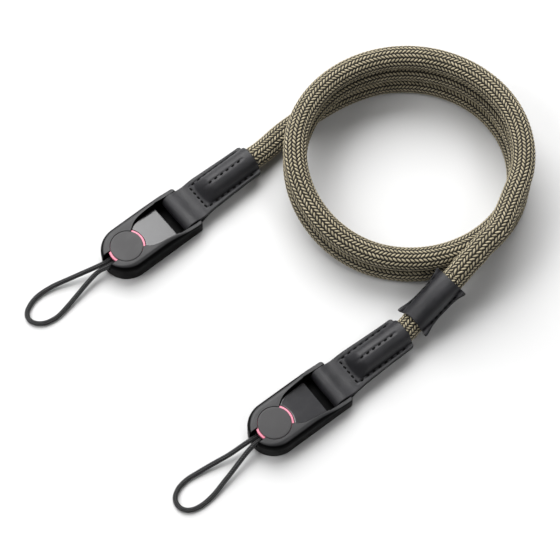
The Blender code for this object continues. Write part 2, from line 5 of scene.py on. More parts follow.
import bpy
import numpy as np
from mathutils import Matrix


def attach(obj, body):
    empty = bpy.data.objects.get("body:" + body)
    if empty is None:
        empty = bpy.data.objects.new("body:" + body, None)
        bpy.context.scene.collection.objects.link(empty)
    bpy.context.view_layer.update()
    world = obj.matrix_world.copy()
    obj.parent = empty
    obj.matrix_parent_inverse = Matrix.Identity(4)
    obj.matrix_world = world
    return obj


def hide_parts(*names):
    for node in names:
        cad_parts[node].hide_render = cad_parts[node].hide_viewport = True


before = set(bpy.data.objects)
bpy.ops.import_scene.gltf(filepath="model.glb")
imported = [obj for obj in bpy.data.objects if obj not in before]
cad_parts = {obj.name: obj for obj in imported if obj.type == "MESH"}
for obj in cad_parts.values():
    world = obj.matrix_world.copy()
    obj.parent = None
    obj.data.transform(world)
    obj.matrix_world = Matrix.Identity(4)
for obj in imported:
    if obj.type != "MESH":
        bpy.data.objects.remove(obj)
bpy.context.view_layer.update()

# The view: a long lens, high in front of the strap, over a pale sheet of paper that curves up
# behind it. One large soft panel stands behind and above, so that surfaces that face up mirror
# it. Two small ones on the left and the right light the slopes of the leather, and a weak
# white studio fills the shadows.
VIEW_POINT = (-0.01825, -0.01125, 0.0)
VIEW_ELEVATION = math.radians(66.0)
VIEW_DISTANCE = 1.0
FOCAL_IN_PICTURES = 2057 / 560  # focal length over the picture's side
SENSOR = 36.0

camera_data = bpy.data.cameras.new("strap_camera")
camera_data.sensor_width = SENSOR
camera_data.lens = SENSOR * FOCAL_IN_PICTURES
camera = bpy.data.objects.new("strap_camera", camera_data)
bpy.context.scene.collection.objects.link(camera)
camera.location = (VIEW_POINT[0],
                   VIEW_POINT[1] - VIEW_DISTANCE * math.cos(VIEW_ELEVATION),
                   VIEW_POINT[2] + VIEW_DISTANCE * math.sin(VIEW_ELEVATION))
camera.rotation_euler = (math.pi / 2 - VIEW_ELEVATION, 0.0, 0.0)
bpy.context.scene.camera = camera
bpy.context.scene.view_settings.view_transform = "Standard"


def grid_faces(rows, columns, closed=False):
    """Quads of a grid whose point number is row times columns plus column.

    A closed grid's last column joins its first.
    """
    i, j = np.meshgrid(np.arange(rows - 1), np.arange(columns if closed else columns - 1),
                       indexing="ij")
    i = i.ravel()
    j = j.ravel()
    right = (j + 1) % columns
    return np.stack([i * columns + j, i * columns + right, (i + 1) * columns + right,
                     (i + 1) * columns + j], axis=1)


def put_mesh(name, points, face_sets, maps=None, sharp_degrees=None):
    """An object at the origin from an array of points and arrays of faces.

    The faces of a closed shape are turned outwards: where the sum of the volumes of the cones
    from the origin to every face is negative, all faces are reversed. maps holds, for each face
    set, one pair of map coordinates per face corner.
    """
    points = np.asarray(points, float).reshape(-1, 3)
    volume = 0.0
    for faces in face_sets:
        for second in range(1, faces.shape[1] - 1):
            a, b, c = (points[faces[:, k]] for k in (0, second, second + 1))
            volume += np.einsum("ij,ij->", a, np.cross(b, c))
    if volume < 0:
        face_sets = [faces[:, ::-1] for faces in face_sets]
        maps = [pairs[:, ::-1] for pairs in maps] if maps else None
    mesh = bpy.data.meshes.new(name)
    mesh.vertices.add(len(points))
    mesh.vertices.foreach_set("co", points.astype(np.float32).ravel())
    corners = np.concatenate([faces.ravel() for faces in face_sets]).astype(np.int32)
    sizes = np.concatenate([np.full(len(faces), faces.shape[1]) for faces in face_sets])
    mesh.loops.add(len(corners))
    mesh.loops.foreach_set("vertex_index", corners)
    mesh.polygons.add(len(sizes))
    mesh.polygons.foreach_set("loop_start", np.concatenate([[0], np.cumsum(sizes)[:-1]])
                              .astype(np.int32))
    mesh.update(calc_edges=True)
    if maps:
        flat = np.concatenate([pairs.reshape(-1, 2) for pairs in maps]).astype(np.float32)
        mesh.uv_layers.new(name="surface").uv.foreach_set("vector", flat.ravel())
    mesh.shade_smooth()
    if sharp_degrees is not None:
        mesh.set_sharp_from_angle(angle=math.radians(sharp_degrees))
    piece = bpy.data.objects.new(name, mesh)
    bpy.context.scene.collection.objects.link(piece)
    return piece


def new_material(name, **sockets):
    """A plain surface whose constants are set on the shader's own sockets."""
    material = bpy.data.materials.new(name)
    material.use_nodes = True
    shader = material.node_tree.nodes["Principled BSDF"]
    for label, value in sockets.items():
        shader.inputs[label.replace("_", " ")].default_value = value
    return material


def paper_sweep(half_width=3.0, front=-2.0, flat_to=1.6, bend=0.8, height=3.0):
    """A flat sheet that rises behind in a quarter of a circle, then stands upright."""
    turn = np.linspace(0.0, math.pi / 2, 24)
    y = np.concatenate([[front], flat_to + bend * np.sin(turn), [flat_to + bend]])
    z = np.concatenate([[0.0], bend * (1 - np.cos(turn)), [height]])
    x = np.array([-half_width, half_width])
    return np.stack(np.broadcast_arrays(x[None, :], y[:, None], z[:, None]), axis=-1)


sweep = paper_sweep()
table = put_mesh("table", sweep, [grid_faces(*sweep.shape[:2])])
table.data.materials.append(new_material("table_paper", Base_Color=(0.60, 0.60, 0.60, 1.0),
                                         Roughness=0.95))


def soft_panel(name, place, width, height, watts):
    """A rectangular area light that faces the middle of the strap."""
    data = bpy.data.lights.new(name, "AREA")
    data.shape = "RECTANGLE"
    data.size = width
    data.size_y = height
    data.energy = watts
    light = bpy.data.objects.new(name, data)
    bpy.context.scene.collection.objects.link(light)
    light.location = place
    light.rotation_euler = (math.atan2(math.hypot(place[0], place[1]), place[2]), 0.0,
                            math.atan2(place[0], -place[1]))


soft_panel("back_panel", (-0.47, 1.78, 1.97), 2.90, 2.80, 182.0)
soft_panel("left_panel", (-0.88, -0.12, 0.98), 0.70, 0.70, 8.0)
soft_panel("right_panel", (0.72, -0.42, 1.25), 0.50, 0.50, 4.0)
studio = bpy.data.worlds.new("studio")
studio.use_nodes = True
studio.node_tree.nodes["Background"].inputs["Color"].default_value = (1.0, 1.0, 1.0, 1.0)
studio.node_tree.nodes["Background"].inputs["Strength"].default_value = 0.13
bpy.context.scene.world = studio


# Rope: one length of round braided khaki nylon; the dark gaps between its floats are painted
# shade. It leaves the left leather tab, lies in a coil that climbs one level each turn, runs
# through the keeper and ends inside the right tab. Sixteen columns of short floats lean to the
# left and the right in turn.
ROPE_DIAMETER = 0.0115
ROPE_LEVEL = 0.0118  # height of one turn above the last
ROPE_IN_TAB = 0.00765  # height of its middle inside a tab
ROPE_END_DISTANCE = 0.0496  # disc centre to the rope's end, inside the tab
MOUTH_DISTANCE = 0.0770  # disc centre to the mouth of the tab
ENDS = {"left": ((-0.03285, 0.05045), 39.3), "right": ((0.04025, -0.04215), 37.6)}
ROPE_ENTRY = [(-0.02850, 0.05425, 0.00670), (-0.02410, 0.05865, 0.00610),
              (-0.01720, 0.06565, 0.00575), (-0.00830, 0.07295, 0.00575),
              (-0.00125, 0.07835, 0.00575), (0.00930, 0.08545, 0.00575)]
ROPE_EXIT = [(0.08645, 0.00355, 0.02930), (0.08205, -0.00175, 0.02880),
             (0.07765, -0.00615, 0.02740), (0.07435, -0.00975, 0.02580),
             (0.07105, -0.01265, 0.02370), (0.06715, -0.01645, 0.02105)]
KEEPER_UPPER = (0.06370, -0.01965, 0.0184)
KEEPER_LOWER = (0.04570, -0.03675, 0.0094)
COIL_CENTRE = (0.04425, 0.04395)
COIL_HALVES = (0.0553, 0.0522)
COIL_START = 116.0  # degrees from +X, the coil winds clockwise
COIL_SWEEP = 862.0
COIL_POINTS = 65  # 27 for each turn
COIL_RISE_FROM = 100.0  # each turn climbs over the degrees from here
COIL_RISE_OVER = 95.0
BRAID_COLUMNS = 16
BRAID_PITCH = 0.0020  # from one float to the next in a column
FLOAT_TOP = 0.00585  # radius at the top of a float
FLOAT_GAP = 0.00530  # radius between two floats
FLOAT_SHARE = (0.38, 0.40)  # half of a float, in pitches and in columns
FLOAT_SWELL = (0.0, 0.75, 1.0, 0.75)  # height of a float's four rings, gap to top
BORDER_SHARE = 0.28  # height between two columns, of the sum of theirs
STILL_PITCHES = 4  # over which the zigzag fades in
# The first weight of YARN_TONE is a painted highlight: the filaments' crests are drawn lighter.
YARN_TONE = (0.10, 0.45, 0.60, -0.05)  # weights of filament, float and patch, and a start


def smooth_step(t):
    """Three t squared less two t cubed, from 0 to 1 with no slope at its ends."""
    t = np.clip(t, 0.0, 1.0)
    return t * t * (3.0 - 2.0 * t)


def in_end(side, points):
    """Points of an end's own frame (u to the rope, v to the left, z up) in the strap's frame.

    The end is turned by its heading, and its disc's centre lies the mouth's distance behind the
    mouth.
    """
    (mouth_x, mouth_y), heading = ENDS[side]
    turn = math.radians(heading)
    u, v, z = np.moveaxis(np.asarray(points, float), -1, 0)
    u = u - MOUTH_DISTANCE
    return np.stack([mouth_x + u * math.cos(turn) - v * math.sin(turn),
                     mouth_y + u * math.sin(turn) + v * math.cos(turn), z], axis=-1)


def way_along(line):
    """Distance from the line's start to each of its points."""
    return np.concatenate([[0.0], np.cumsum(np.linalg.norm(np.diff(line, axis=0), axis=1))])


def read_off(values, along, at):
    """The values of a line's points, read off between them at other distances along it."""
    return np.stack([np.interp(at, along, values[:, axis]) for axis in range(3)], axis=-1)


def smooth_route(given, step):
    """Points about a step apart along the smooth curve through the given points.

    Between two points the curve is the cubic whose slope at each is half the step between that
    point's two neighbours.
    """
    given = np.asarray(given, float)
    padded = np.vstack([2 * given[0] - given[1], given, 2 * given[-1] - given[-2]])
    before, start, end, after = padded[:-3], padded[1:-2], padded[2:-1], padded[3:]
    t = np.linspace(0.0, 1.0, 16, endpoint=False)[None, :, None]
    slope_start = ((end - before) / 2)[:, None]
    slope_end = ((after - start) / 2)[:, None]
    fine = ((2 * t**3 - 3 * t**2 + 1) * start[:, None] + (t**3 - 2 * t**2 + t) * slope_start
            + (3 * t**2 - 2 * t**3) * end[:, None] + (t**3 - t**2) * slope_end)
    line = np.vstack([fine.reshape(-1, 3), given[-1:]])
    along = way_along(line)
    even = np.linspace(0.0, along[-1], int(round(along[-1] / step)) + 1)
    return read_off(line, along, even)


def coil_route():
    """Points clockwise round an oval. The height is one level for each rise that lies behind."""
    angle = COIL_START - COIL_SWEEP * np.linspace(0.0, 1.0, COIL_POINTS + 1)
    laps = np.arange(3)[:, None]
    level = smooth_step((-COIL_RISE_FROM - 360 * laps - angle) / COIL_RISE_OVER).sum(axis=0)
    turn = np.radians(angle)
    return np.stack([COIL_CENTRE[0] + COIL_HALVES[0] * np.cos(turn),
                     COIL_CENTRE[1] + COIL_HALVES[1] * np.sin(turn),
                     ROPE_DIAMETER / 2 + ROPE_LEVEL * level], axis=1)


def grid_map(quads, columns, across, along):
    """A pair for each corner of a closed grid's quads: columns over across, rows over along."""
    i = (quads[:, 0] // columns)[:, None] + np.array([0, 0, 1, 1])
    j = (quads[:, 0] % columns)[:, None] + np.array([0, 1, 1, 0])
    return np.stack([j / across, i / along], axis=-1)


def fan_caps(rings, sides):
    """Triangles from the first and the last ring to the two points that follow the grid."""
    near = np.arange(sides)
    far = (near + 1) % sides
    last = (rings - 1) * sides
    return [np.stack([np.full(sides, rings * sides), far, near], axis=1),
            np.stack([np.full(sides, rings * sides + 1), last + near, last + far], axis=1)]


def braided_cord(name, route, columns, pitch, top, gap, twist_degrees=0.0):
    """A round braid along a route, one surface of rings, with three points to a column.

    The rings run in a zigzag: across a column they climb one pitch, and across the next they
    fall back, so the mesh follows the floats. The radius swells from the gap to the top of a
    float and back in four rings, half a pitch apart in neighbouring columns. The map counts
    columns round the cord and floats along it. The zigzag fades out near both ends.
    """
    along = way_along(route)
    forward = np.gradient(route, axis=0)
    forward /= np.linalg.norm(forward, axis=1)[:, None]
    side = np.cross([0.0, 0.0, 1.0], forward)
    side /= np.linalg.norm(side, axis=1)[:, None]
    upward = np.cross(forward, side)

    rings = 4 * int(round(along[-1] / pitch)) + 1
    round_count = 3 * columns
    ring = np.arange(rings)[:, None]
    column = np.arange(round_count)[None, :] / 3
    start = ring * along[-1] / (rings - 1)
    lean = np.where(np.floor(column) % 2 == 0, column % 1, 1 - column % 1)
    fade = smooth_step(np.minimum(start, along[-1] - start) / (STILL_PITCHES * pitch))
    at = start + fade * pitch * (0.5 - lean)

    swell = np.array(FLOAT_SWELL)
    even = swell[ring % 4]
    odd = swell[(ring + 2) % 4]
    height = np.where(np.floor(column) % 2 == 0, even, odd)
    height = np.where(column % 1 == 0, BORDER_SHARE * (even + odd), height)
    radius = gap + (top - gap) * height
    turn = 2 * math.pi * column / columns + math.radians(twist_degrees) * at / along[-1]

    lean_out = (np.cos(turn)[..., None] * read_off(side, along, at)
                + np.sin(turn)[..., None] * read_off(upward, along, at))
    surface = read_off(route, along, at) + radius[..., None] * lean_out
    points = np.vstack([surface.reshape(-1, 3), route[:1], route[-1:]])
    quads = grid_faces(rings, round_count, closed=True)
    blank = np.zeros((round_count, 3, 2))
    return put_mesh(name, points, [quads, *fan_caps(rings, round_count)],
                    [grid_map(quads, round_count, 3, 4), blank, blank])


def put_node(material, kind, inputs, **settings):
    """A node with its settings. An input is a value or another node's output."""
    node = material.node_tree.nodes.new(kind)
    for label, value in settings.items():
        setattr(node, label, value)
    for key, value in inputs.items():
        if isinstance(value, bpy.types.NodeSocket):
            material.node_tree.links.new(value, node.inputs[key])
        else:
            node.inputs[key].default_value = value
    return node


def work_out(material, operation, *values):
    """The result of one arithmetic step on values or other nodes' outputs."""
    return put_node(material, "ShaderNodeMath", dict(enumerate(values)),
                    operation=operation).outputs[0]


def remap(material, value, low, high, to_low=0.0, to_high=1.0):
    """A smooth step of the value from low to high, scaled to the new limits."""
    return put_node(material, "ShaderNodeMapRange",
                    {"Value": value, "From Min": low, "From Max": high, "To Min": to_low,
                     "To Max": to_high}, interpolation_type="SMOOTHSTEP").outputs["Result"]


def blend_colours(material, share, first, second):
    """The first colour where the share is 0, the second where it is 1."""
    node = put_node(material, "ShaderNodeMix", {"Factor": share}, data_type="RGBA")
    for key, colour in ((6, first), (7, second)):
        if isinstance(colour, bpy.types.NodeSocket):
            material.node_tree.links.new(colour, node.inputs[key])
        else:
            node.inputs[key].default_value = (*colour, 1.0)
    return node.outputs[2]


def feed(material, **sockets):
    """Links outputs to the shader's sockets."""
    shader = material.node_tree.nodes["Principled BSDF"]
    for label, output in sockets.items():
        material.node_tree.links.new(output, shader.inputs[label.replace("_", " ")])


def axis_of(material, vector, axis):
    """One of a vector's X, Y and Z."""
    return put_node(material, "ShaderNodeSeparateXYZ", {"Vector": vector}).outputs[axis]


def surface_map(material):
    """The place on the piece's own map."""
    return put_node(material, "ShaderNodeUVMap", {}, uv_map="surface").outputs["UV"]


def object_place(material):
    """The place in metres."""
    return put_node(material, "ShaderNodeTexCoord", {}).outputs["Object"]


def noise(material, place, scale, detail, roughness=0.5):
    """Cloudy noise from 0 to 1, with about so many spots to a metre."""
    return put_node(material, "ShaderNodeTexNoise",
                    {"Vector": place, "Scale": scale, "Detail": detail,
                     "Roughness": roughness}).outputs["Fac"]


def relief(material, height, strength, depth):
    """The normal of a surface that stands so many metres higher where the height is 1."""
    return put_node(material, "ShaderNodeBump", {"Height": height, "Strength": strength,
                                                 "Distance": depth}).outputs["Normal"]


def braid_finish(name, bright, dull, gap, roughness, filaments, depth):
    """Yarn drawn from the braid's own map, where x counts columns and y counts floats.

    A float is an oval in each cell of the map: its height falls with the squared distance from
    the cell's middle, and fine filaments run along it. Its tone is the weighted sum of a painted
    highlight on the filaments' crests, a random value of its own and a patch of noise. Outside
    the oval, and fading in towards the float's border, lies painted shade in the near-black gap
    colour.
    """
    material = new_material(name, Roughness=roughness, Specular_IOR_Level=0.25,
                            Sheen_Weight=0.10, Sheen_Roughness=0.5)
    x = axis_of(material, surface_map(material), "X")
    column = work_out(material, "FLOOR", x)
    lengthwise = work_out(material, "FRACT", x)
    shift = work_out(material, "MODULO", column, 2.0)
    count = work_out(material, "MULTIPLY_ADD", shift, 0.5,
                     axis_of(material, surface_map(material), "Y"))
    crosswise = work_out(material, "FRACT", count)
    squares = []
    for share, reach in zip((crosswise, lengthwise), FLOAT_SHARE):
        off = work_out(material, "DIVIDE", work_out(material, "SUBTRACT", share, 0.5), reach)
        squares.append(work_out(material, "POWER", off, 2.0))
    away = work_out(material, "ADD", *squares)
    own = put_node(material, "ShaderNodeCombineXYZ",
                   {"X": column, "Y": work_out(material, "FLOOR", count)}).outputs["Vector"]
    tint = put_node(material, "ShaderNodeTexWhiteNoise", {"Vector": own},
                    noise_dimensions="2D").outputs["Value"]
    # Painted highlight: the filaments' crests are drawn lighter in colour as well as raised.
    ridge_and_painted_highlight = work_out(material, "SINE", work_out(material, "MULTIPLY", crosswise,
                                                2 * math.pi * filaments))
    patch = noise(material, object_place(material), 70.0, 3.0)
    of_painted_highlight, of_tint, of_patch, tone = YARN_TONE
    for value, weight in ((patch, of_patch), (tint, of_tint), (ridge_and_painted_highlight, of_painted_highlight)):
        tone = work_out(material, "MULTIPLY_ADD", value, weight, tone)
    yarn = blend_colours(material, tone, dull, bright)
    dome = remap(material, away, 0.0, 1.5, 1.0, 0.0)
    height = work_out(material, "MULTIPLY_ADD", ridge_and_painted_highlight, 0.04, dome)
    # Painted shade: the gap colour fills the space outside the oval and darkens the float towards
    # its border.
    float_not_in_painted_shade = remap(material, away, 0.45, 1.25, 1.0, 0.0)
    feed(material, Base_Color=blend_colours(material, float_not_in_painted_shade, gap, yarn),
         Normal=relief(material, height, 0.9, depth))
    return material


def dress(piece, material, stands_for=None):
    """Gives a piece its material and slot, rides it on the part's only body, and lets it stand
    for a CAD node if one is named.
    """
    piece.data.materials.append(material)
    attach(piece, "root")
    if stands_for:
        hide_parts(stands_for)


inside_left = in_end("left", [(u, 0.0, ROPE_IN_TAB) for u in
                              (ROPE_END_DISTANCE, MOUTH_DISTANCE - ROPE_DIAMETER, MOUTH_DISTANCE)])
inside_right = in_end("right", [(u, 0.0, ROPE_IN_TAB) for u in
                                (MOUTH_DISTANCE, MOUTH_DISTANCE - ROPE_DIAMETER,
                                 ROPE_END_DISTANCE)])
rope_given = np.vstack([inside_left, ROPE_ENTRY, coil_route(), ROPE_EXIT,
                        [KEEPER_UPPER, KEEPER_LOWER], inside_right])
rope_route = smooth_route(rope_given, 0.0010)
rope = braided_cord("rope_braid", rope_route, BRAID_COLUMNS, BRAID_PITCH, FLOAT_TOP, FLOAT_GAP,
                    twist_degrees=40.0)
# The third colour is the painted shade in the gaps between floats.
khaki_braid = braid_finish("khaki_braid", (0.50, 0.435, 0.30), (0.26, 0.225, 0.145),
                           (0.010, 0.008, 0.004), 0.75, 5, 0.0005)
dress(rope, khaki_braid, "rope")


# Anchor cords: a loop of thin black braided cord at each end. Both its ends come out of the
# hub under the disc, pass through the slot in the housing's nose and meet in a bend that rests
# on the table.
ANCHOR_CORD_DIAMETER = 0.0024
CORD_LOOPS = {
    "left": [(-0.0047, 0.00135, 0.0069), (-0.0085, 0.00135, 0.0069), (-0.0130, 0.0015, 0.0068),
             (-0.0186, 0.0034, 0.0052), (-0.0293, 0.0068, 0.0032), (-0.0394, 0.0096, 0.0019),
             (-0.0483, 0.0101, 0.0013), (-0.0552, 0.0075, 0.0012), (-0.0577, 0.0038, 0.0012),
             (-0.0567, -0.0002, 0.0012), (-0.0527, -0.0034, 0.0012), (-0.0465, -0.0045, 0.0012),
             (-0.0404, -0.0036, 0.0015), (-0.0327, -0.0020, 0.0024), (-0.0247, -0.0004, 0.0038),
             (-0.0180, 0.0003, 0.0052), (-0.0130, -0.0011, 0.0068), (-0.0085, -0.00135, 0.0069),
             (-0.0047, -0.00135, 0.0069)],
    "right": [(-0.0047, 0.00135, 0.0069), (-0.0085, 0.00135, 0.0069), (-0.0130, 0.0014, 0.0068),
              (-0.0170, 0.0019, 0.0055), (-0.0250, 0.0027, 0.0036), (-0.0329, 0.0040, 0.0024),
              (-0.0411, 0.0051, 0.0015), (-0.0473, 0.0056, 0.0012), (-0.0527, 0.0046, 0.0012),
              (-0.0567, 0.0019, 0.0012), (-0.0580, -0.0018, 0.0012), (-0.0569, -0.0053, 0.0012),
              (-0.0537, -0.0077, 0.0012), (-0.0486, -0.0086, 0.0012), (-0.0419, -0.0080, 0.0015),
              (-0.0349, -0.0063, 0.0024), (-0.0283, -0.0047, 0.0036), (-0.0213, -0.0029, 0.0051),
              (-0.0170, -0.0019, 0.0059), (-0.0130, -0.0014, 0.0068), (-0.0085, -0.00135, 0.0069),
              (-0.0047, -0.00135, 0.0069)],
}
# The third colour is the painted shade in the gaps between floats.
black_braid = braid_finish("black_braid", (0.060, 0.060, 0.062), (0.018, 0.018, 0.020),
                           (0.0015, 0.0015, 0.0015), 0.60, 3, 0.00015)
for side, loop in CORD_LOOPS.items():
    loop_route = smooth_route(in_end(side, loop), 0.0004)
    anchor_cord = braided_cord(f"{side}_anchor_braid", loop_route, 8, 0.0011,
                               ANCHOR_CORD_DIAMETER / 2 + 0.00002,
                               ANCHOR_CORD_DIAMETER / 2 - 0.00010, twist_degrees=30.0)
    dress(anchor_cord, black_braid, f"{side}_anchor_cord")


# Leather tabs: one strip of black leather at each end, folded round the housing's bar and
# sewn to itself over the rope. Rows of stitches run across the strip, along both its borders
# and along the top of the rope.
BAR_DISTANCE = 0.0330
BAR_RADIUS = 0.0026
BAR_HEIGHT = 0.0049
LEATHER = 0.00125
FOLD_RADIUS = 0.0042  # outside of the fold
TAB_HALF_WIDTH = 0.0100
TAB_MOUTH_HALF_WIDTH = 0.0089
TAB_CORNER = 0.0016
SEAM_DISTANCE = 0.0440  # disc centre to the seam across the strip
SHOULDER = 0.0080  # length over which the leather climbs onto the rope
SHOULDER_POWER = 0.7  # below 1 it climbs sooner than a smooth step
SHOULDER_LEVEL = 0.6  # share of it after which the middle plane is level
BULGE_HEIGHT = 0.00765  # from the middle plane to the leather over the rope
BULGE_HALF_WIDTH = 0.0069
BULGE_SQUARENESS = 2.3  # 2 would be an oval arch
CREASE_SHARPNESS = 6  # of the valley between the bulge and the flat border
EDGE_ROUND = 0.0003
EDGE_DEGREES = (30.0, 60.0, 90.0)  # points of the round
SIDE_SEAM = 0.0073  # middle of the strip to the seams along its borders
SIDE_SEAM_ENDS = (0.0446, 0.0736)
TOP_SEAM_ENDS = (0.0500, 0.0712)
SEAM_DEPTH = 0.00030
SEAM_SOFTNESS = 0.00045
SEAM_FADES = (0.0005, 0.0010, 0.0020)  # length in which the three kinds of seam end
UNEVENNESS = 0.00003
LAYER_GAP = 0.00004  # from the middle plane to the inside of a layer
STITCH_PITCH = 0.0035
STITCH_LENGTH = 0.0022
THREAD_RADIUS = 0.00044
THREAD_SIDES = 8
THREAD_LIFT = (1.7, 1.1)  # rise of its middle over its ends, and their depth, in radii
THREAD_TAPER = 0.65  # share of the radius that is gone at its ends


def strip_caps(rows, count):
    """Quads that close the first and the last ring of a grid.

    A ring is one half, then the other half in reverse, and each quad joins two neighbours of the
    first half to their mates in the second.
    """
    k = np.arange(count // 2 - 1)
    mate = count - 1 - k
    last = (rows - 1) * count
    return (np.stack([k + 1, k, mate, mate - 1], axis=1),
            np.stack([last + k, last + k + 1, last + mate - 1, last + mate], axis=1))


def leather_layer(feet, leans, half, outer, inner, columns):
    """Rings round the cross-section of a strip: points (row, point, along-across-up).

    A point stands on its row's foot and goes outwards along the row's lean by the outer or inner
    height, which are functions of the distance from the strip's middle and the row number. The
    four long edges are quarter circles.
    """
    corner = np.radians(EDGE_DEGREES)
    flat = np.linspace(-1.0, 1.0, columns)[None, :] * (half - EDGE_ROUND)[:, None]
    bend = (half - EDGE_ROUND)[:, None] + EDGE_ROUND * np.sin(corner)[None, :]
    across = np.hstack([-bend[:, ::-1], flat, bend])
    drop = np.concatenate([(1 - np.cos(corner))[::-1], np.zeros(columns), 1 - np.cos(corner)])
    row = np.arange(len(half))[:, None]
    held = np.clip(across, -(half - EDGE_ROUND)[:, None], (half - EDGE_ROUND)[:, None])
    high = outer(held, row) - EDGE_ROUND * drop
    low = inner(held, row) + EDGE_ROUND * drop
    ring_across = np.hstack([across, across[:, ::-1]])
    ring_height = np.hstack([high, low[:, ::-1]])
    return np.stack([feet[:, :1] + leans[:, :1] * ring_height, ring_across,
                     feet[:, 1:] + leans[:, 1:] * ring_height], axis=-1)


def layer_faces(layer, first_point=0):
    """Faces of a layer's grid and of its two ends, and their maps.

    A map pairs 0 on the outer face, or 1 elsewhere, with the row number.
    """
    rows, count = layer.shape[:2]
    quads = grid_faces(rows, count, closed=True)
    inward = (np.arange(count) >= count // 2).astype(float)
    edge = len(EDGE_DEGREES)
    inward[:edge] = inward[count // 2 - edge:count // 2] = 1.0
    quad_map = np.stack([inward[quads % count], quads // count * 1.0], axis=-1)
    sets = [quads] + list(strip_caps(rows, count))
    maps = [quad_map] + [np.ones((len(cap), 4, 2)) for cap in sets[1:]]
    return [faces + first_point for faces in sets], maps


def window(value, low, high, soft):
    """1 between low and high, falling smoothly to 0 within the soft length outside them."""
    return smooth_step((value - low) / soft + 1) * smooth_step((high - value) / soft + 1)


def round_off(past_end, radius):
    """How far a quarter circle has fallen back, from one radius before the end to the end."""
    share = np.clip(past_end / radius + 1, 0.0, 1.0)
    return radius * (1 - np.sqrt(1 - share**2))


def tab_half_width(u):
    """The strip narrows from the bar to the mouth along a smooth step, then round a corner."""
    share = smooth_step((u - BAR_DISTANCE) / (MOUTH_DISTANCE - BAR_DISTANCE))
    return (TAB_HALF_WIDTH - (TAB_HALF_WIDTH - TAB_MOUTH_HALF_WIDTH) * share
            - round_off(u - MOUTH_DISTANCE, TAB_CORNER))


def tab_middle(u):
    """Height of the plane where the two layers meet, from the bar's height to the rope's."""
    start = BAR_DISTANCE + BAR_RADIUS
    climb = smooth_step((u - start) / (SEAM_DISTANCE + SHOULDER_LEVEL * SHOULDER - start))
    return BAR_HEIGHT + (ROPE_IN_TAB - BAR_HEIGHT) * climb


def over_rope(flat, top, v, half, squareness):
    """A smooth larger of a flat height and of an arch over the rope, flattened at its top."""
    arch = top * np.sqrt(np.maximum(1 - np.abs(v / half)**squareness, 0.0))
    return (flat**CREASE_SHARPNESS + arch**CREASE_SHARPNESS) ** (1 / CREASE_SHARPNESS)


def bare_rise(u, v):
    """Height of the leather's outside over the middle plane, before it is sewn.

    Its flat height falls from the fold to the thickness, and its arch over the rope grows from
    the seam with a power of a smooth step.
    """
    fall = smooth_step((u - BAR_DISTANCE) / (SEAM_DISTANCE - BAR_DISTANCE - LEATHER))
    flat = LEATHER + (FOLD_RADIUS - LEATHER) * (1 - fall)
    started = smooth_step((u - SEAM_DISTANCE) / SHOULDER)**SHOULDER_POWER
    return over_rope(flat, BULGE_HEIGHT * started, v, BULGE_HALF_WIDTH, BULGE_SQUARENESS)


def furrow(distance, softness=SEAM_SOFTNESS):
    """1 on a seam, falling beside it as a bell curve."""
    return np.exp(-(distance / softness)**2)


def sewn_rise(u, v):
    """The bare height less the furrows that the seams pull in, and a faint unevenness."""
    side = np.abs(v)
    cross_fade, border_fade, top_fade = SEAM_FADES
    cross = window(side, 0.0, SIDE_SEAM, cross_fade) * furrow(u - SEAM_DISTANCE)
    border = window(u, *SIDE_SEAM_ENDS, border_fade) * furrow(side - SIDE_SEAM)
    top = window(u, *TOP_SEAM_ENDS, top_fade) * furrow(v, 1.6 * SEAM_SOFTNESS)
    uneven = UNEVENNESS * (np.sin(420 * u + 260 * v) + np.sin(610 * v - 350 * u))
    deepest = np.maximum(np.maximum(cross, border), top)
    return bare_rise(u, v) - SEAM_DEPTH * deepest + uneven


def tab_layer():
    """The whole strip: up to the bar along the lower layer, round it, and back on the upper."""
    straight = MOUTH_DISTANCE - (MOUTH_DISTANCE - BAR_DISTANCE) * np.linspace(0.0, 1.0, 96)**1.15
    turn = np.radians(np.linspace(270.0, 90.0, 21)[1:-1])
    along = np.concatenate([straight, np.full(len(turn), BAR_DISTANCE), straight[::-1]])
    feet = np.stack([along, tab_middle(along)], axis=1)
    leans = np.zeros((len(along), 2))
    leans[:len(straight), 1] = -1.0
    leans[len(straight):-len(straight)] = np.stack([np.cos(turn), np.sin(turn)], axis=1)
    leans[-len(straight):, 1] = 1.0
    pinch = round_off(along - MOUTH_DISTANCE, EDGE_ROUND)

    def outer(v, row):
        return sewn_rise(along[row], v) - pinch[row]

    def inner(v, row):
        return np.maximum(bare_rise(along[row], v) - LEATHER, LAYER_GAP) + pinch[row]

    return leather_layer(feet, leans, tab_half_width(along), outer, inner, 73)


def stitch_run(start, end, count, lean_degrees=10.0):
    """Both ends of each stitch in a row, as (stitch, end, along-across), a little slanted."""
    start = np.asarray(start, float)
    end = np.asarray(end, float)
    forward = (end - start) / np.linalg.norm(end - start)
    sideways = np.array([-forward[1], forward[0]])
    middle = start + (end - start) * ((np.arange(count) + 0.5) / count)[:, None]
    lean = math.radians(lean_degrees)
    reach = STITCH_LENGTH / 2 * (forward * math.cos(lean) + sideways * math.sin(lean))
    return np.stack([middle - reach, middle + reach], axis=1)


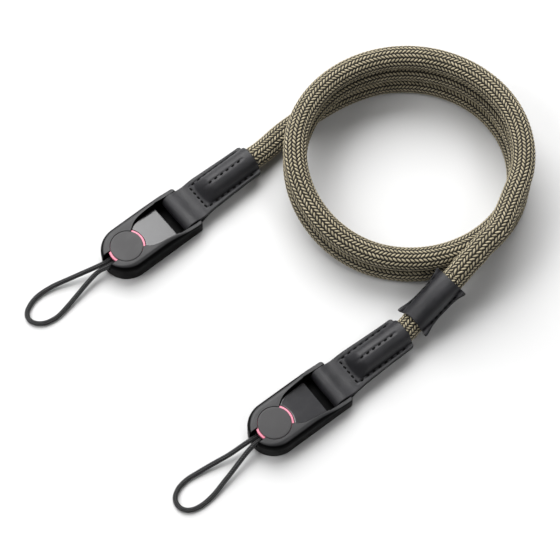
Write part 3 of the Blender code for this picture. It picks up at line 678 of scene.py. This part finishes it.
def stitch_mesh(runs, surface):
    """Threads that dip into the leather at both ends: points (stitch, ring, round, xyz).

    The thread's middle follows the surface, raised along a half sine, and its radius falls to a
    third at both ends. surface gives a point for arrays of along, across and lift.
    """
    share = np.linspace(0.0, 1.0, 9)[None, :]
    ends = np.concatenate(runs)
    along = ends[:, :1, 0] + (ends[:, 1:, 0] - ends[:, :1, 0]) * share
    across = ends[:, :1, 1] + (ends[:, 1:, 1] - ends[:, :1, 1]) * share
    rise, depth = THREAD_LIFT
    lift = THREAD_RADIUS * (rise * np.sin(math.pi * share)**0.6 - depth)
    middle = surface(along, across, lift + 0 * along)
    forward = middle[:, -1:] - middle[:, :1]
    forward /= np.linalg.norm(forward, axis=-1, keepdims=True)
    upward = surface(along, across, lift + 0.001) - middle
    upward /= np.linalg.norm(upward, axis=-1, keepdims=True)
    side = np.cross(forward, upward)
    turn = 2 * math.pi * np.arange(THREAD_SIDES) / THREAD_SIDES
    radius = THREAD_RADIUS * (1 - THREAD_TAPER * np.abs(2 * share - 1)**5)
    circle = (np.cos(turn)[:, None] * side[:, :, None]
              + np.sin(turn)[:, None] * upward[:, :, None])
    return middle[:, :, None] + radius[:, :, None, None] * circle


def put_stitches(name, threads, material):
    """One piece from all the threads: each is a tube of eight-sided rings with flat ends."""
    number, rings, sides = threads.shape[:3]
    size = rings * sides
    quads = grid_faces(rings, sides, closed=True)
    first = np.arange(sides)[None, ::-1]
    last = np.arange(size - sides, size)[None, :]
    shift = (np.arange(number) * size)[:, None, None]
    sets = [(quads + shift).reshape(-1, 4), (first + shift).reshape(-1, sides),
            (last + shift).reshape(-1, sides)]
    ends = np.zeros((number, sides, 2))
    maps = [np.tile(grid_map(quads, sides, sides, rings - 1), (number, 1, 1)), ends, ends]
    dress(put_mesh(name, threads, sets, maps), material)


def leather_finish():
    """Black leather: pebbles a fraction of a millimetre wide under a satin polish.

    The pebbles are the distance to the border of random cells, crossed by finer noise. The
    polish and the tone drift over a few millimetres, and the cut edges are dyed and duller.
    """
    material = new_material("black_leather", Specular_IOR_Level=0.32)
    place = object_place(material)
    pebble = put_node(material, "ShaderNodeTexVoronoi", {"Vector": place, "Scale": 1700.0},
                      feature="DISTANCE_TO_EDGE").outputs["Distance"]
    drift = noise(material, place, 130.0, 4.0)
    height = work_out(material, "MULTIPLY", noise(material, place, 420.0, 2.0), 1.2)
    for value, weight in ((noise(material, place, 2600.0, 3.0), 0.30),
                          (remap(material, pebble, 0.0, 0.22), 0.55)):
        height = work_out(material, "MULTIPLY_ADD", value, weight, height)
    edge = axis_of(material, surface_map(material), "X")
    tone = blend_colours(material, remap(material, drift, 0.35, 0.70),
                         (0.0100, 0.0098, 0.0115), (0.0160, 0.0155, 0.0180))
    polish = work_out(material, "MULTIPLY_ADD", edge, 0.14,
                      remap(material, drift, 0.3, 0.7, 0.40, 0.52))
    feed(material, Normal=relief(material, height, 0.35, 0.00012), Roughness=polish,
         Base_Color=blend_colours(material, edge, tone, (0.0070, 0.0070, 0.0078)))
    return material


def thread_finish():
    """Black waxed thread: two strands that turn round each other, from the stitch's own map."""
    material = new_material("black_thread", Roughness=0.60, Specular_IOR_Level=0.10)
    phase = work_out(material, "MULTIPLY_ADD", axis_of(material, surface_map(material), "X"),
                     4 * math.pi, work_out(material, "MULTIPLY",
                                           axis_of(material, surface_map(material), "Y"), 26.0))
    strand_and_painted_shade = work_out(material, "MULTIPLY_ADD", work_out(material, "SINE", phase), 0.5, 0.5)
    feed(material, Normal=relief(material, strand_and_painted_shade, 0.8, 0.00010),
         # Painted shade: the colour is darker in the grooves between the strands and lighter on
         # their crests.
         Base_Color=blend_colours(material, strand_and_painted_shade, (0.0010, 0.0010, 0.0010),
                                  (0.0030, 0.0030, 0.0032)))
    return material


black_leather = leather_finish()
black_thread = thread_finish()
for side in ENDS:
    layer = tab_layer()
    faces, maps = layer_faces(layer)
    tab = put_mesh(f"{side}_tab_leather", in_end(side, layer), faces, maps, sharp_degrees=50)
    dress(tab, black_leather, f"{side}_leather_tab")

    long_count = round((SIDE_SEAM_ENDS[1] - SIDE_SEAM_ENDS[0]) / STITCH_PITCH)
    top_count = round((TOP_SEAM_ENDS[1] - TOP_SEAM_ENDS[0]) / STITCH_PITCH)
    runs = [stitch_run((SIDE_SEAM_ENDS[0], v), (SIDE_SEAM_ENDS[1], v), long_count)
            for v in (-SIDE_SEAM, SIDE_SEAM)]
    runs.append(stitch_run((SEAM_DISTANCE, -SIDE_SEAM), (SEAM_DISTANCE, SIDE_SEAM), 5))
    runs.append(stitch_run((TOP_SEAM_ENDS[0], 0.0), (TOP_SEAM_ENDS[1], 0.0), top_count))

    for name, sign, sewn in (("upper", 1.0, runs), ("lower", -1.0, runs[:3])):
        def on_tab(u, v, lift):
            height = tab_middle(u) + sign * (sewn_rise(u, v) + lift)
            return in_end(side, np.stack([u, v, height], axis=-1))

        put_stitches(f"{side}_tab_{name}_stitches", stitch_mesh(sewn, on_tab), black_thread)


# Leather keeper: two layers of the same leather sewn together on both sides of the rope, so
# that it slides along it. It is narrow at its waist, and its four corners flare and gape.
KEEPER_LENGTH = 0.0260
KEEPER_WAIST = 0.0077
KEEPER_TIP = 0.0097
KEEPER_BULGE_HALF = 0.0069
KEEPER_SQUARENESS = 2.8
KEEPER_SEAM = 0.0071
KEEPER_CROWN = 0.0011  # its middle stands this much over its ends
KEEPER_TONGUE = 0.0024  # the lower corners reach this much past the end
KEEPER_SEAM_REACH = 0.0094
KEEPER_GAPE = 0.0009  # from the middle plane to each layer of a corner
KEEPER_BORDER = (0.0062, 0.0084)  # across which the gape grows
KEEPER_STITCHES = 6  # in each row
KEEPER_UNEVENNESS = (0.00004, 0.00003)

keeper_upper = np.array(KEEPER_UPPER)
keeper_lower = np.array(KEEPER_LOWER)
keeper_axis = (keeper_upper - keeper_lower) / np.linalg.norm(keeper_upper - keeper_lower)
keeper_side = np.cross([0.0, 0.0, 1.0], keeper_axis)
keeper_side /= np.linalg.norm(keeper_side)
keeper_top = np.cross(keeper_axis, keeper_side)


def in_keeper(points):
    """Points of the keeper's own frame (up the rope, across, up from it) in the strap's frame."""
    return ((keeper_upper + keeper_lower) / 2 + points[..., :1] * keeper_axis
            + points[..., 1:2] * keeper_side + points[..., 2:] * keeper_top)


def keeper_half_width(s):
    """From the waist to the tips with the third power of the way, then round the corner."""
    share = np.abs(s) / (KEEPER_LENGTH / 2)
    return (KEEPER_WAIST + (KEEPER_TIP - KEEPER_WAIST) * share**3
            - 0.7 * round_off(np.abs(s) - KEEPER_LENGTH / 2, TAB_CORNER))


def keeper_bare(s, v):
    """An arch over the rope, which falls from its middle with the square of the way along."""
    crown = KEEPER_CROWN * (0.5 - (s / (KEEPER_LENGTH / 2))**2)
    return over_rope(LEATHER, BULGE_HEIGHT + crown, v, KEEPER_BULGE_HALF, KEEPER_SQUARENESS)


def keeper_gape(s, v):
    """The borders part towards the corners, with the sixth power of the way along."""
    low, high = KEEPER_BORDER
    border = smooth_step((np.abs(v) - low) / (high - low))
    return KEEPER_GAPE * (np.abs(s) / (KEEPER_LENGTH / 2))**6 * border


def keeper_rise(s, v):
    """Height over the middle plane: the bare one and the gape, less the furrows of the seams."""
    seam = window(np.abs(s), 0.0, KEEPER_SEAM_REACH, 0.001) * furrow(np.abs(v) - KEEPER_SEAM)
    broad, fine = KEEPER_UNEVENNESS
    uneven = broad * np.sin(300 * s + 150 * v) + fine * np.sin(640 * v - 280 * s)
    return keeper_bare(s, v) + keeper_gape(s, v) - SEAM_DEPTH * seam + uneven


def keeper_layer(sign):
    """One layer of the keeper, on the upper side of the rope or, with -1, on the lower.

    The lower corners are drawn out with the third power of the way along and the square of the
    way across.
    """
    s = KEEPER_LENGTH / 2 * np.sin(np.linspace(-math.pi / 2, math.pi / 2, 64))
    feet = np.stack([s, 0 * s], axis=1)
    leans = np.stack([0 * s, sign + 0 * s], axis=1)
    pinch = round_off(np.abs(s) - KEEPER_LENGTH / 2, EDGE_ROUND)

    def outer(v, row):
        return keeper_rise(s[row], v) - pinch[row]

    def inner(v, row):
        low = np.maximum(keeper_bare(s[row], v) - LEATHER, LAYER_GAP)
        return low + keeper_gape(s[row], v) + pinch[row]

    layer = leather_layer(feet, leans, keeper_half_width(s), outer, inner, 65)
    lower_end = np.clip(-s / (KEEPER_LENGTH / 2), 0.0, 1.0)[:, None]**3
    layer[..., 0] -= KEEPER_TONGUE * lower_end * (layer[..., 1] / KEEPER_TIP)**2
    return layer


layers = np.stack([keeper_layer(1.0), keeper_layer(-1.0)])
upper_faces, upper_maps = layer_faces(layers[0])
lower_faces, lower_maps = layer_faces(layers[1], layers[0, ..., 0].size)
keeper = put_mesh("keeper_leather", in_keeper(layers),
                  upper_faces + [faces[:, ::-1] for faces in lower_faces],
                  upper_maps + [pairs[:, ::-1] for pairs in lower_maps], sharp_degrees=50)
dress(keeper, black_leather, "leather_keeper")

keeper_runs = [stitch_run((-KEEPER_SEAM_REACH, v), (KEEPER_SEAM_REACH, v), KEEPER_STITCHES)
               for v in (-KEEPER_SEAM, KEEPER_SEAM)]
for name, sign in (("keeper_upper_stitches", 1.0), ("keeper_lower_stitches", -1.0)):
    def on_keeper(s, v, lift):
        return in_keeper(np.stack([s, v, sign * (keeper_rise(s, v) + lift)], axis=-1))

    put_stitches(name, stitch_mesh(keeper_runs, on_keeper), black_thread)


# Buckle housings: moulded in matt black nylon. A round nose holds the disc, a window shows
# the release ramp, and two arms that fall towards the bar stand on both sides of the leather.
GAP = 0.0003  # between neighbouring pieces
HOUSING_HALF_WIDTH = 0.0125
HOUSING_NOSE = 0.0130
HOUSING_HEIGHT = 0.0115
HOUSING_END = 0.0376
ARM_HEIGHT = 0.0077
ARM_INNER = 0.0103
SHOULDER_DEPTH = 0.0033  # the round between the side and the upper face
SHOULDER_INSET = 0.0032
LEAST_SHOULDER = 0.2  # share of it that is left where the arms are low
NOSE_INSET = 0.0016
FOOT_EDGE = 0.0008
SLOPE_START = 0.0150  # the upper face starts to fall here
TIP_ROUND = 0.0017
CHAMFER = 0.00022
RIM_CHAMFER = 0.00010
WEB_TOP = 0.0012  # a thin floor reaches from the ramp towards the bar
WEB_END = 0.0298
RAMP_END = 0.0244
RAMP_THICKNESS = 0.0015
RAMP_LOW = 0.0058
DISC_RADIUS = 0.0080
RIM_GAP = 0.00013  # round the disc and the ring
RING_RADIUS = 0.0091
RING_TOP = 0.0108
RAMP_START = 0.0094
RAMP_HIGH = 0.0103
RING_LOW = 0.0090
HUB_RADIUS = 0.0045
HUB_LOW = 0.0057
SLOT_WIDTH = 0.0060
WINDOW_STATIONS = [(0.24, 0.45), (0.31, 0.57), (0.38, 0.69), (0.46, 0.785), (0.57, 0.855),
                   (0.74, 0.905), (1.02, 0.970), (1.12, 0.980)]


def housing_top(u):
    """Level over the nose, then falling along a smooth step to the height of the arms."""
    fall = smooth_step((u - SLOPE_START) / (HOUSING_END - SLOPE_START))
    return HOUSING_HEIGHT - (HOUSING_HEIGHT - ARM_HEIGHT) * fall


def ramp_top(u):
    """The ramp falls evenly from its high end to its low end."""
    return RAMP_HIGH - (RAMP_HIGH - RAMP_LOW) / (RAMP_END - RAMP_START) * (u - RAMP_START)


def window_half_width(u):
    """Read off a smooth curve through the window's stations."""
    curve = smooth_route([(a * RAMP_END, b * ARM_INNER, 0.0) for a, b in WINDOW_STATIONS], 0.0003)
    return np.interp(u, curve[:, 0], curve[:, 1])


def housing_shell():
    """Rings (level, point, uvz) from the foot, up the side and over the round shoulder.

    Half the outline is a quarter oval for the nose, a straight arm and a round tip. The shoulder
    is a quarter round from that outline to a narrower one on top, flatter where the arm is low.
    """
    nose = np.radians(np.linspace(176.0, 90.0, 44))
    arm = np.linspace(0.0, HOUSING_END - TIP_ROUND, 46)[1:]
    tip = np.radians(np.linspace(0.0, 90.0, 11))[1:]
    outer_u = np.concatenate([HOUSING_NOSE * np.cos(nose), arm,
                              HOUSING_END - TIP_ROUND * (1 - np.sin(tip))])
    outer_v = np.concatenate([HOUSING_HALF_WIDTH * np.sin(nose),
                              np.full(len(arm), HOUSING_HALF_WIDTH),
                              HOUSING_HALF_WIDTH - TIP_ROUND * (1 - np.cos(tip))])
    depth = np.maximum(housing_top(outer_u) - (HOUSING_HEIGHT - SHOULDER_DEPTH),
                       LEAST_SHOULDER * SHOULDER_DEPTH)
    inset = SHOULDER_INSET * depth / SHOULDER_DEPTH
    facing = np.concatenate([math.pi / 2 - nose, np.zeros(len(arm)), tip])
    top_u = outer_u - inset * np.sin(facing)
    top_v = outer_v - inset * np.cos(facing)
    top_u[:len(nose)] = (HOUSING_NOSE - NOSE_INSET) * np.cos(nose)
    top_v[:len(nose)] = (HOUSING_HALF_WIDTH - SHOULDER_INSET) * np.sin(nose)
    levels = []
    for foot in np.radians([0.0, 30.0, 60.0, 90.0]):
        pull = FOOT_EDGE * (1 - math.sin(foot))
        levels.append((outer_u - pull * np.sin(facing), outer_v - pull * np.cos(facing),
                       np.full(len(outer_u), FOOT_EDGE * (1 - math.cos(foot)))))
    for shoulder in np.radians(np.linspace(0.0, 90.0, 13)):
        share = 1 - math.cos(shoulder)
        levels.append((outer_u + (top_u - outer_u) * share, outer_v + (top_v - outer_v) * share,
                       housing_top(outer_u) - depth * (1 - math.sin(shoulder))))
    half = np.stack([np.stack(level, axis=-1) for level in levels])
    return np.concatenate([half, half[:, ::-1] * np.array([1.0, -1.0, 1.0])], axis=1)


def put_loft(name, rings):
    """A closed body whose sides join the rings (ring, point, xyz)."""
    rows, count = rings.shape[:2]
    return put_mesh(name, rings, [grid_faces(rows, count, closed=True), *strip_caps(rows, count)])


def slot_cutter(stations, half_width, low, top):
    """Rings of a cutter with straight sides from low upwards, and a small chamfer at the top."""
    wide = half_width + 2 * CHAMFER
    rings = []
    for width, z in ((half_width, low), (half_width, top - CHAMFER), (wide, top + CHAMFER),
                     (wide, 2 * HOUSING_HEIGHT)):
        half = np.stack([stations, width + 0 * stations, z + 0 * stations], axis=-1)
        rings.append(np.concatenate([half, half[::-1] * np.array([1.0, -1.0, 1.0])]))
    return np.stack(rings)


def turned(profile, sides):
    """Points and faces of a profile of (radius, z) turned round z, from axis to axis."""
    radius, z = np.asarray(profile, float)[1:-1].T
    turn = 2 * math.pi * np.arange(sides) / sides
    rings = np.stack(np.broadcast_arrays(radius[:, None] * np.cos(turn),
                                         radius[:, None] * np.sin(turn), z[:, None]), axis=-1)
    points = np.vstack([rings.reshape(-1, 3), [(0, 0, profile[0][1]), (0, 0, profile[-1][1])]])
    return points, [grid_faces(len(radius), sides, closed=True), *fan_caps(len(radius), sides)]


def carved(piece, tools):
    """The mesh left when the tools are cut from the piece or joined with it, which all go."""
    for tool, operation in tools:
        modifier = piece.modifiers.new(tool.name, "BOOLEAN")
        modifier.operation = operation
        modifier.solver = "EXACT"
        modifier.object = tool
    bpy.context.view_layer.update()
    result = bpy.data.meshes.new_from_object(
        piece.evaluated_get(bpy.context.evaluated_depsgraph_get()))
    for body in [piece] + [tool for tool, operation in tools]:
        bpy.data.objects.remove(body, do_unlink=True)
    return result


def plastic_finish(name, base, worn, roughness, gloss_drift, grain, depth, level=0.5):
    """Moulded plastic: a fine spark-eroded grain, with tone and gloss that drift a little."""
    material = new_material(name, Specular_IOR_Level=level)
    place = object_place(material)
    fine = noise(material, place, grain, 4.0, 0.65)
    drift = noise(material, place, 210.0, 5.0)
    polish = remap(material, drift, 0.3, 0.7, roughness - gloss_drift, roughness + gloss_drift)
    feed(material, Normal=relief(material, fine, 0.4, depth), Roughness=polish,
         Base_Color=blend_colours(material, remap(material, drift, 0.45, 0.75), base, worn))
    return material


def paint_shade_on_walls(material, painted_shade, painted_wall_and_top_gloss):
    """Painted shade on walls and hollows: they take a near-black base colour and mirror less light
    than the upper face.

    The upper face is what faces up and lies high: the product of two smooth steps, of the
    normal's height and of the height over the table. Elsewhere the base is the painted shade
    colour. The mirrored share goes from the first painted gloss level, on the shaded walls and
    hollows, to the second, on the upper face.
    """
    shader = material.node_tree.nodes["Principled BSDF"]
    normal = put_node(material, "ShaderNodeNewGeometry", {}).outputs["Normal"]
    # Painted shade: where the normal leans away from up or the surface lies low, the base colour
    # turns near-black and the mirrored share drops.
    height = axis_of(material, object_place(material), "Z")
    upper = work_out(material, "MULTIPLY",
                     remap(material, axis_of(material, normal, "Z"), 0.72, 0.92),
                     remap(material, height, 0.0050, 0.0072))
    tone = shader.inputs["Base Color"].links[0].from_socket
    level = work_out(material, "MULTIPLY_ADD", upper, painted_wall_and_top_gloss[1] - painted_wall_and_top_gloss[0], painted_wall_and_top_gloss[0])
    feed(material, Base_Color=blend_colours(material, upper, painted_shade, tone),
         Specular_IOR_Level=level)


housing_plastic = plastic_finish("housing_plastic", (0.0140, 0.0138, 0.0150),
                                 (0.0170, 0.0168, 0.0180), 0.42, 0.05, 5200.0, 0.00005)
# Painted shade on the housing's walls and hollows, with less mirrored light there.
paint_shade_on_walls(housing_plastic, (0.0012, 0.0012, 0.0013), (0.03, 0.32))


def housing_tools():
    """Tools in an end's own frame, and what each does to the housing.

    They cut the window, the leather's gap, the disc's socket and the cord's slot, each with a
    small chamfer where it meets the top, and join the bar on.
    """
    over = 2 * HOUSING_HEIGHT
    window_u = np.linspace(WINDOW_STATIONS[0][0], WINDOW_STATIONS[-1][0], 40) * RAMP_END
    pocket = slot_cutter(window_u, window_half_width(window_u),
                         ramp_top(window_u) - RAMP_THICKNESS - GAP, housing_top(window_u))
    gap_u = np.concatenate([np.linspace(RAMP_END + GAP, WEB_END, 12),
                            np.linspace(WEB_END + 0.00001, 1.2 * HOUSING_END, 18)])
    strap_gap = slot_cutter(gap_u, ARM_INNER, np.where(gap_u <= WEB_END, WEB_TOP, -over),
                            housing_top(gap_u))
    slot = slot_cutter(np.linspace(-2 * HOUSING_NOSE, 0.0, 5), SLOT_WIDTH / 2, HUB_LOW - GAP,
                       HOUSING_HEIGHT)
    tools = [(put_loft(name, rings), "DIFFERENCE") for name, rings in
             (("pocket", pocket), ("strap_gap", strap_gap), ("slot", slot))]
    well = HUB_LOW - GAP
    seat = RING_LOW - GAP
    profile = [(0, well), (HUB_RADIUS + GAP, well), (HUB_RADIUS + GAP, seat),
               (RING_RADIUS + RIM_GAP, seat), (RING_RADIUS + RIM_GAP, RING_TOP + RIM_GAP),
               (DISC_RADIUS + RIM_GAP, RING_TOP + RIM_GAP),
               (DISC_RADIUS + RIM_GAP, HOUSING_HEIGHT - RIM_CHAMFER),
               (DISC_RADIUS + RIM_GAP + 2 * RIM_CHAMFER, HOUSING_HEIGHT + RIM_CHAMFER),
               (DISC_RADIUS + RIM_GAP + 2 * RIM_CHAMFER, over), (0, over)]
    points, faces = turned(profile, 96)
    tools.append((put_mesh("socket", points, faces), "DIFFERENCE"))
    turn = 2 * math.pi * np.arange(32) / 32
    bar = np.stack([np.stack([BAR_DISTANCE + BAR_RADIUS * np.cos(turn), v + 0 * turn,
                              BAR_HEIGHT + BAR_RADIUS * np.sin(turn)], axis=-1)
                    for v in (-ARM_INNER - LEATHER, ARM_INNER + LEATHER)])
    tools.append((put_loft("bar", bar), "UNION"))
    return tools


housing_form = carved(put_loft("housing_form", housing_shell()), housing_tools())
form_points = np.empty(3 * len(housing_form.vertices), np.float32)
housing_form.vertices.foreach_get("co", form_points)
for side in ENDS:
    housing_mesh = housing_form.copy()
    turned_points = in_end(side, form_points.reshape(-1, 3))
    housing_mesh.vertices.foreach_set("co", turned_points.astype(np.float32).ravel())
    housing_mesh.shade_smooth()
    housing_mesh.set_sharp_from_angle(angle=math.radians(28))
    housing_mesh.materials.clear()
    housing = bpy.data.objects.new(f"{side}_housing_shell", housing_mesh)
    bpy.context.scene.collection.objects.link(housing)
    dress(housing, housing_plastic, f"{side}_buckle_housing")


# Release ramps: a glossy black panel in each window, which starts as an arc round the ring,
# falls towards the bar and ends straight across.
RAMP_FRONT_SHARE = 0.60  # half of the front arc's width, of its radius
RAMP_EDGE = 0.00018


def ramp_sheet(across=40, along=30):
    """Points (row, column, uv) between the front arc and the straight low end.

    A row runs from one side of the window to the other. Rows blend evenly from the arc to the
    end, and their width follows the window at the row's side.
    """
    front_v = RAMP_FRONT_SHARE * RAMP_START
    edge_u = math.sqrt(RAMP_START**2 - front_v**2)
    t = np.linspace(0.0, 1.0, along)[:, None]
    s = np.linspace(-1.0, 1.0, across)[None, :]
    half = window_half_width(edge_u + (RAMP_END - edge_u) * t) - GAP
    front_u = np.sqrt(RAMP_START**2 - (s * front_v)**2)
    return np.stack(np.broadcast_arrays(front_u + (RAMP_END - front_u) * t, s * half), axis=-1)


ramp_plastic = plastic_finish("ramp_plastic", (0.024, 0.024, 0.026), (0.029, 0.029, 0.031),
                              0.20, 0.03, 900.0, 0.00001, level=0.10)
coat = ramp_plastic.node_tree.nodes["Principled BSDF"].inputs
coat["Coat Weight"].default_value = 1.0
coat["Coat Roughness"].default_value = 0.14
coat["Coat IOR"].default_value = 1.5
for side in ENDS:
    sheet = ramp_sheet()
    high = np.concatenate([sheet, ramp_top(sheet[..., :1])], axis=-1)
    low = high - np.array([0.0, 0.0, RAMP_THICKNESS])
    rings = np.concatenate([high, low[:, ::-1]], axis=1)
    ramp = put_loft(f"{side}_ramp_panel", in_end(side, rings))
    rounding = ramp.modifiers.new("edges", "BEVEL")
    rounding.width = RAMP_EDGE
    rounding.segments = 3
    rounding.angle_limit = math.radians(40)
    dress(ramp, ramp_plastic, f"{side}_release_ramp")


# Anchor discs: a flat black plate with a fine round edge, moulded in one with the hub below
# it that holds both ends of the cord.
DISC_PLATE = 0.0005
DISC_EDGE = 0.0002
DISC_CROWN = 0.00006  # the plate's middle stands this much over its border
HUB_EDGE = 0.0003
PLATE_EDGE = 0.0001  # at the foot of the plate's border


def disc_profile():
    """(radius, z) from the hub's foot to the middle of the plate.

    The plate is a shallow bowl turned over: its height falls with the square of the radius.
    """
    plate_low = HOUSING_HEIGHT - DISC_PLATE
    turn = np.radians(np.linspace(0.0, 90.0, 5))
    bend = [(DISC_RADIUS - DISC_EDGE * (1 - math.cos(a)),
             HOUSING_HEIGHT - DISC_CROWN - DISC_EDGE * (1 - math.sin(a))) for a in turn]
    rim = bend[-1][0]
    crown = [(r, HOUSING_HEIGHT - DISC_CROWN * (r / rim)**2)
             for r in np.linspace(rim, 0.0, 12)[1:]]
    return [(0.0, HUB_LOW), (HUB_RADIUS - HUB_EDGE, HUB_LOW), (HUB_RADIUS, HUB_LOW + HUB_EDGE),
            (HUB_RADIUS, plate_low), (DISC_RADIUS - PLATE_EDGE, plate_low),
            (DISC_RADIUS, plate_low + PLATE_EDGE), *bend, *crown]


disc_plastic = plastic_finish("disc_plastic", (0.0190, 0.0180, 0.0190),
                              (0.0230, 0.0218, 0.0230), 0.42, 0.04, 4200.0, 0.00004, level=0.32)
for side in ENDS:
    points, faces = turned(disc_profile(), 128)
    disc = put_mesh(f"{side}_disc_plate", in_end(side, points), faces, sharp_degrees=30)
    dress(disc, disc_plastic, f"{side}_anchor_disc")


# Anchor rings: the red layer under each plate, a flat ring with round edges that shows in
# the window and in the cord's slot.
RING_ROUND = 0.0003


def ring_points(sides=128):
    """Points (turn, profile, uvz) of a flat ring, a box with quarter-round corners."""
    corner = np.radians(np.arange(0.0, 91.0, 22.5))
    centres = [(RING_RADIUS, RING_TOP, 0.0), (HUB_RADIUS + GAP, RING_TOP, 90.0),
               (HUB_RADIUS + GAP, RING_LOW, 180.0), (RING_RADIUS, RING_LOW, 270.0)]
    profile = []
    for radius, z, start in centres:
        a = corner + math.radians(start)
        inward = -1.0 if start in (0.0, 270.0) else 1.0
        down = -1.0 if start in (0.0, 90.0) else 1.0
        profile.append(np.stack([radius + inward * RING_ROUND + RING_ROUND * np.cos(a),
                                 z + down * RING_ROUND + RING_ROUND * np.sin(a)], axis=1))
    radius, z = np.concatenate(profile).T
    turn = 2 * math.pi * np.arange(sides) / sides
    return np.stack(np.broadcast_arrays(radius[None] * np.cos(turn)[:, None],
                                        radius[None] * np.sin(turn)[:, None], z[None]), axis=-1)


ring_plastic = plastic_finish("ring_plastic", (0.62, 0.17, 0.25), (0.68, 0.20, 0.29), 0.36, 0.04,
                              3000.0, 0.00003)
for side in ENDS:
    rings = ring_points()
    sides, count = rings.shape[:2]
    quads = grid_faces(sides + 1, count, closed=True) % (sides * count)
    ring = put_mesh(f"{side}_ring_band", in_end(side, rings), [quads], sharp_degrees=40)
    dress(ring, ring_plastic, f"{side}_anchor_ring")
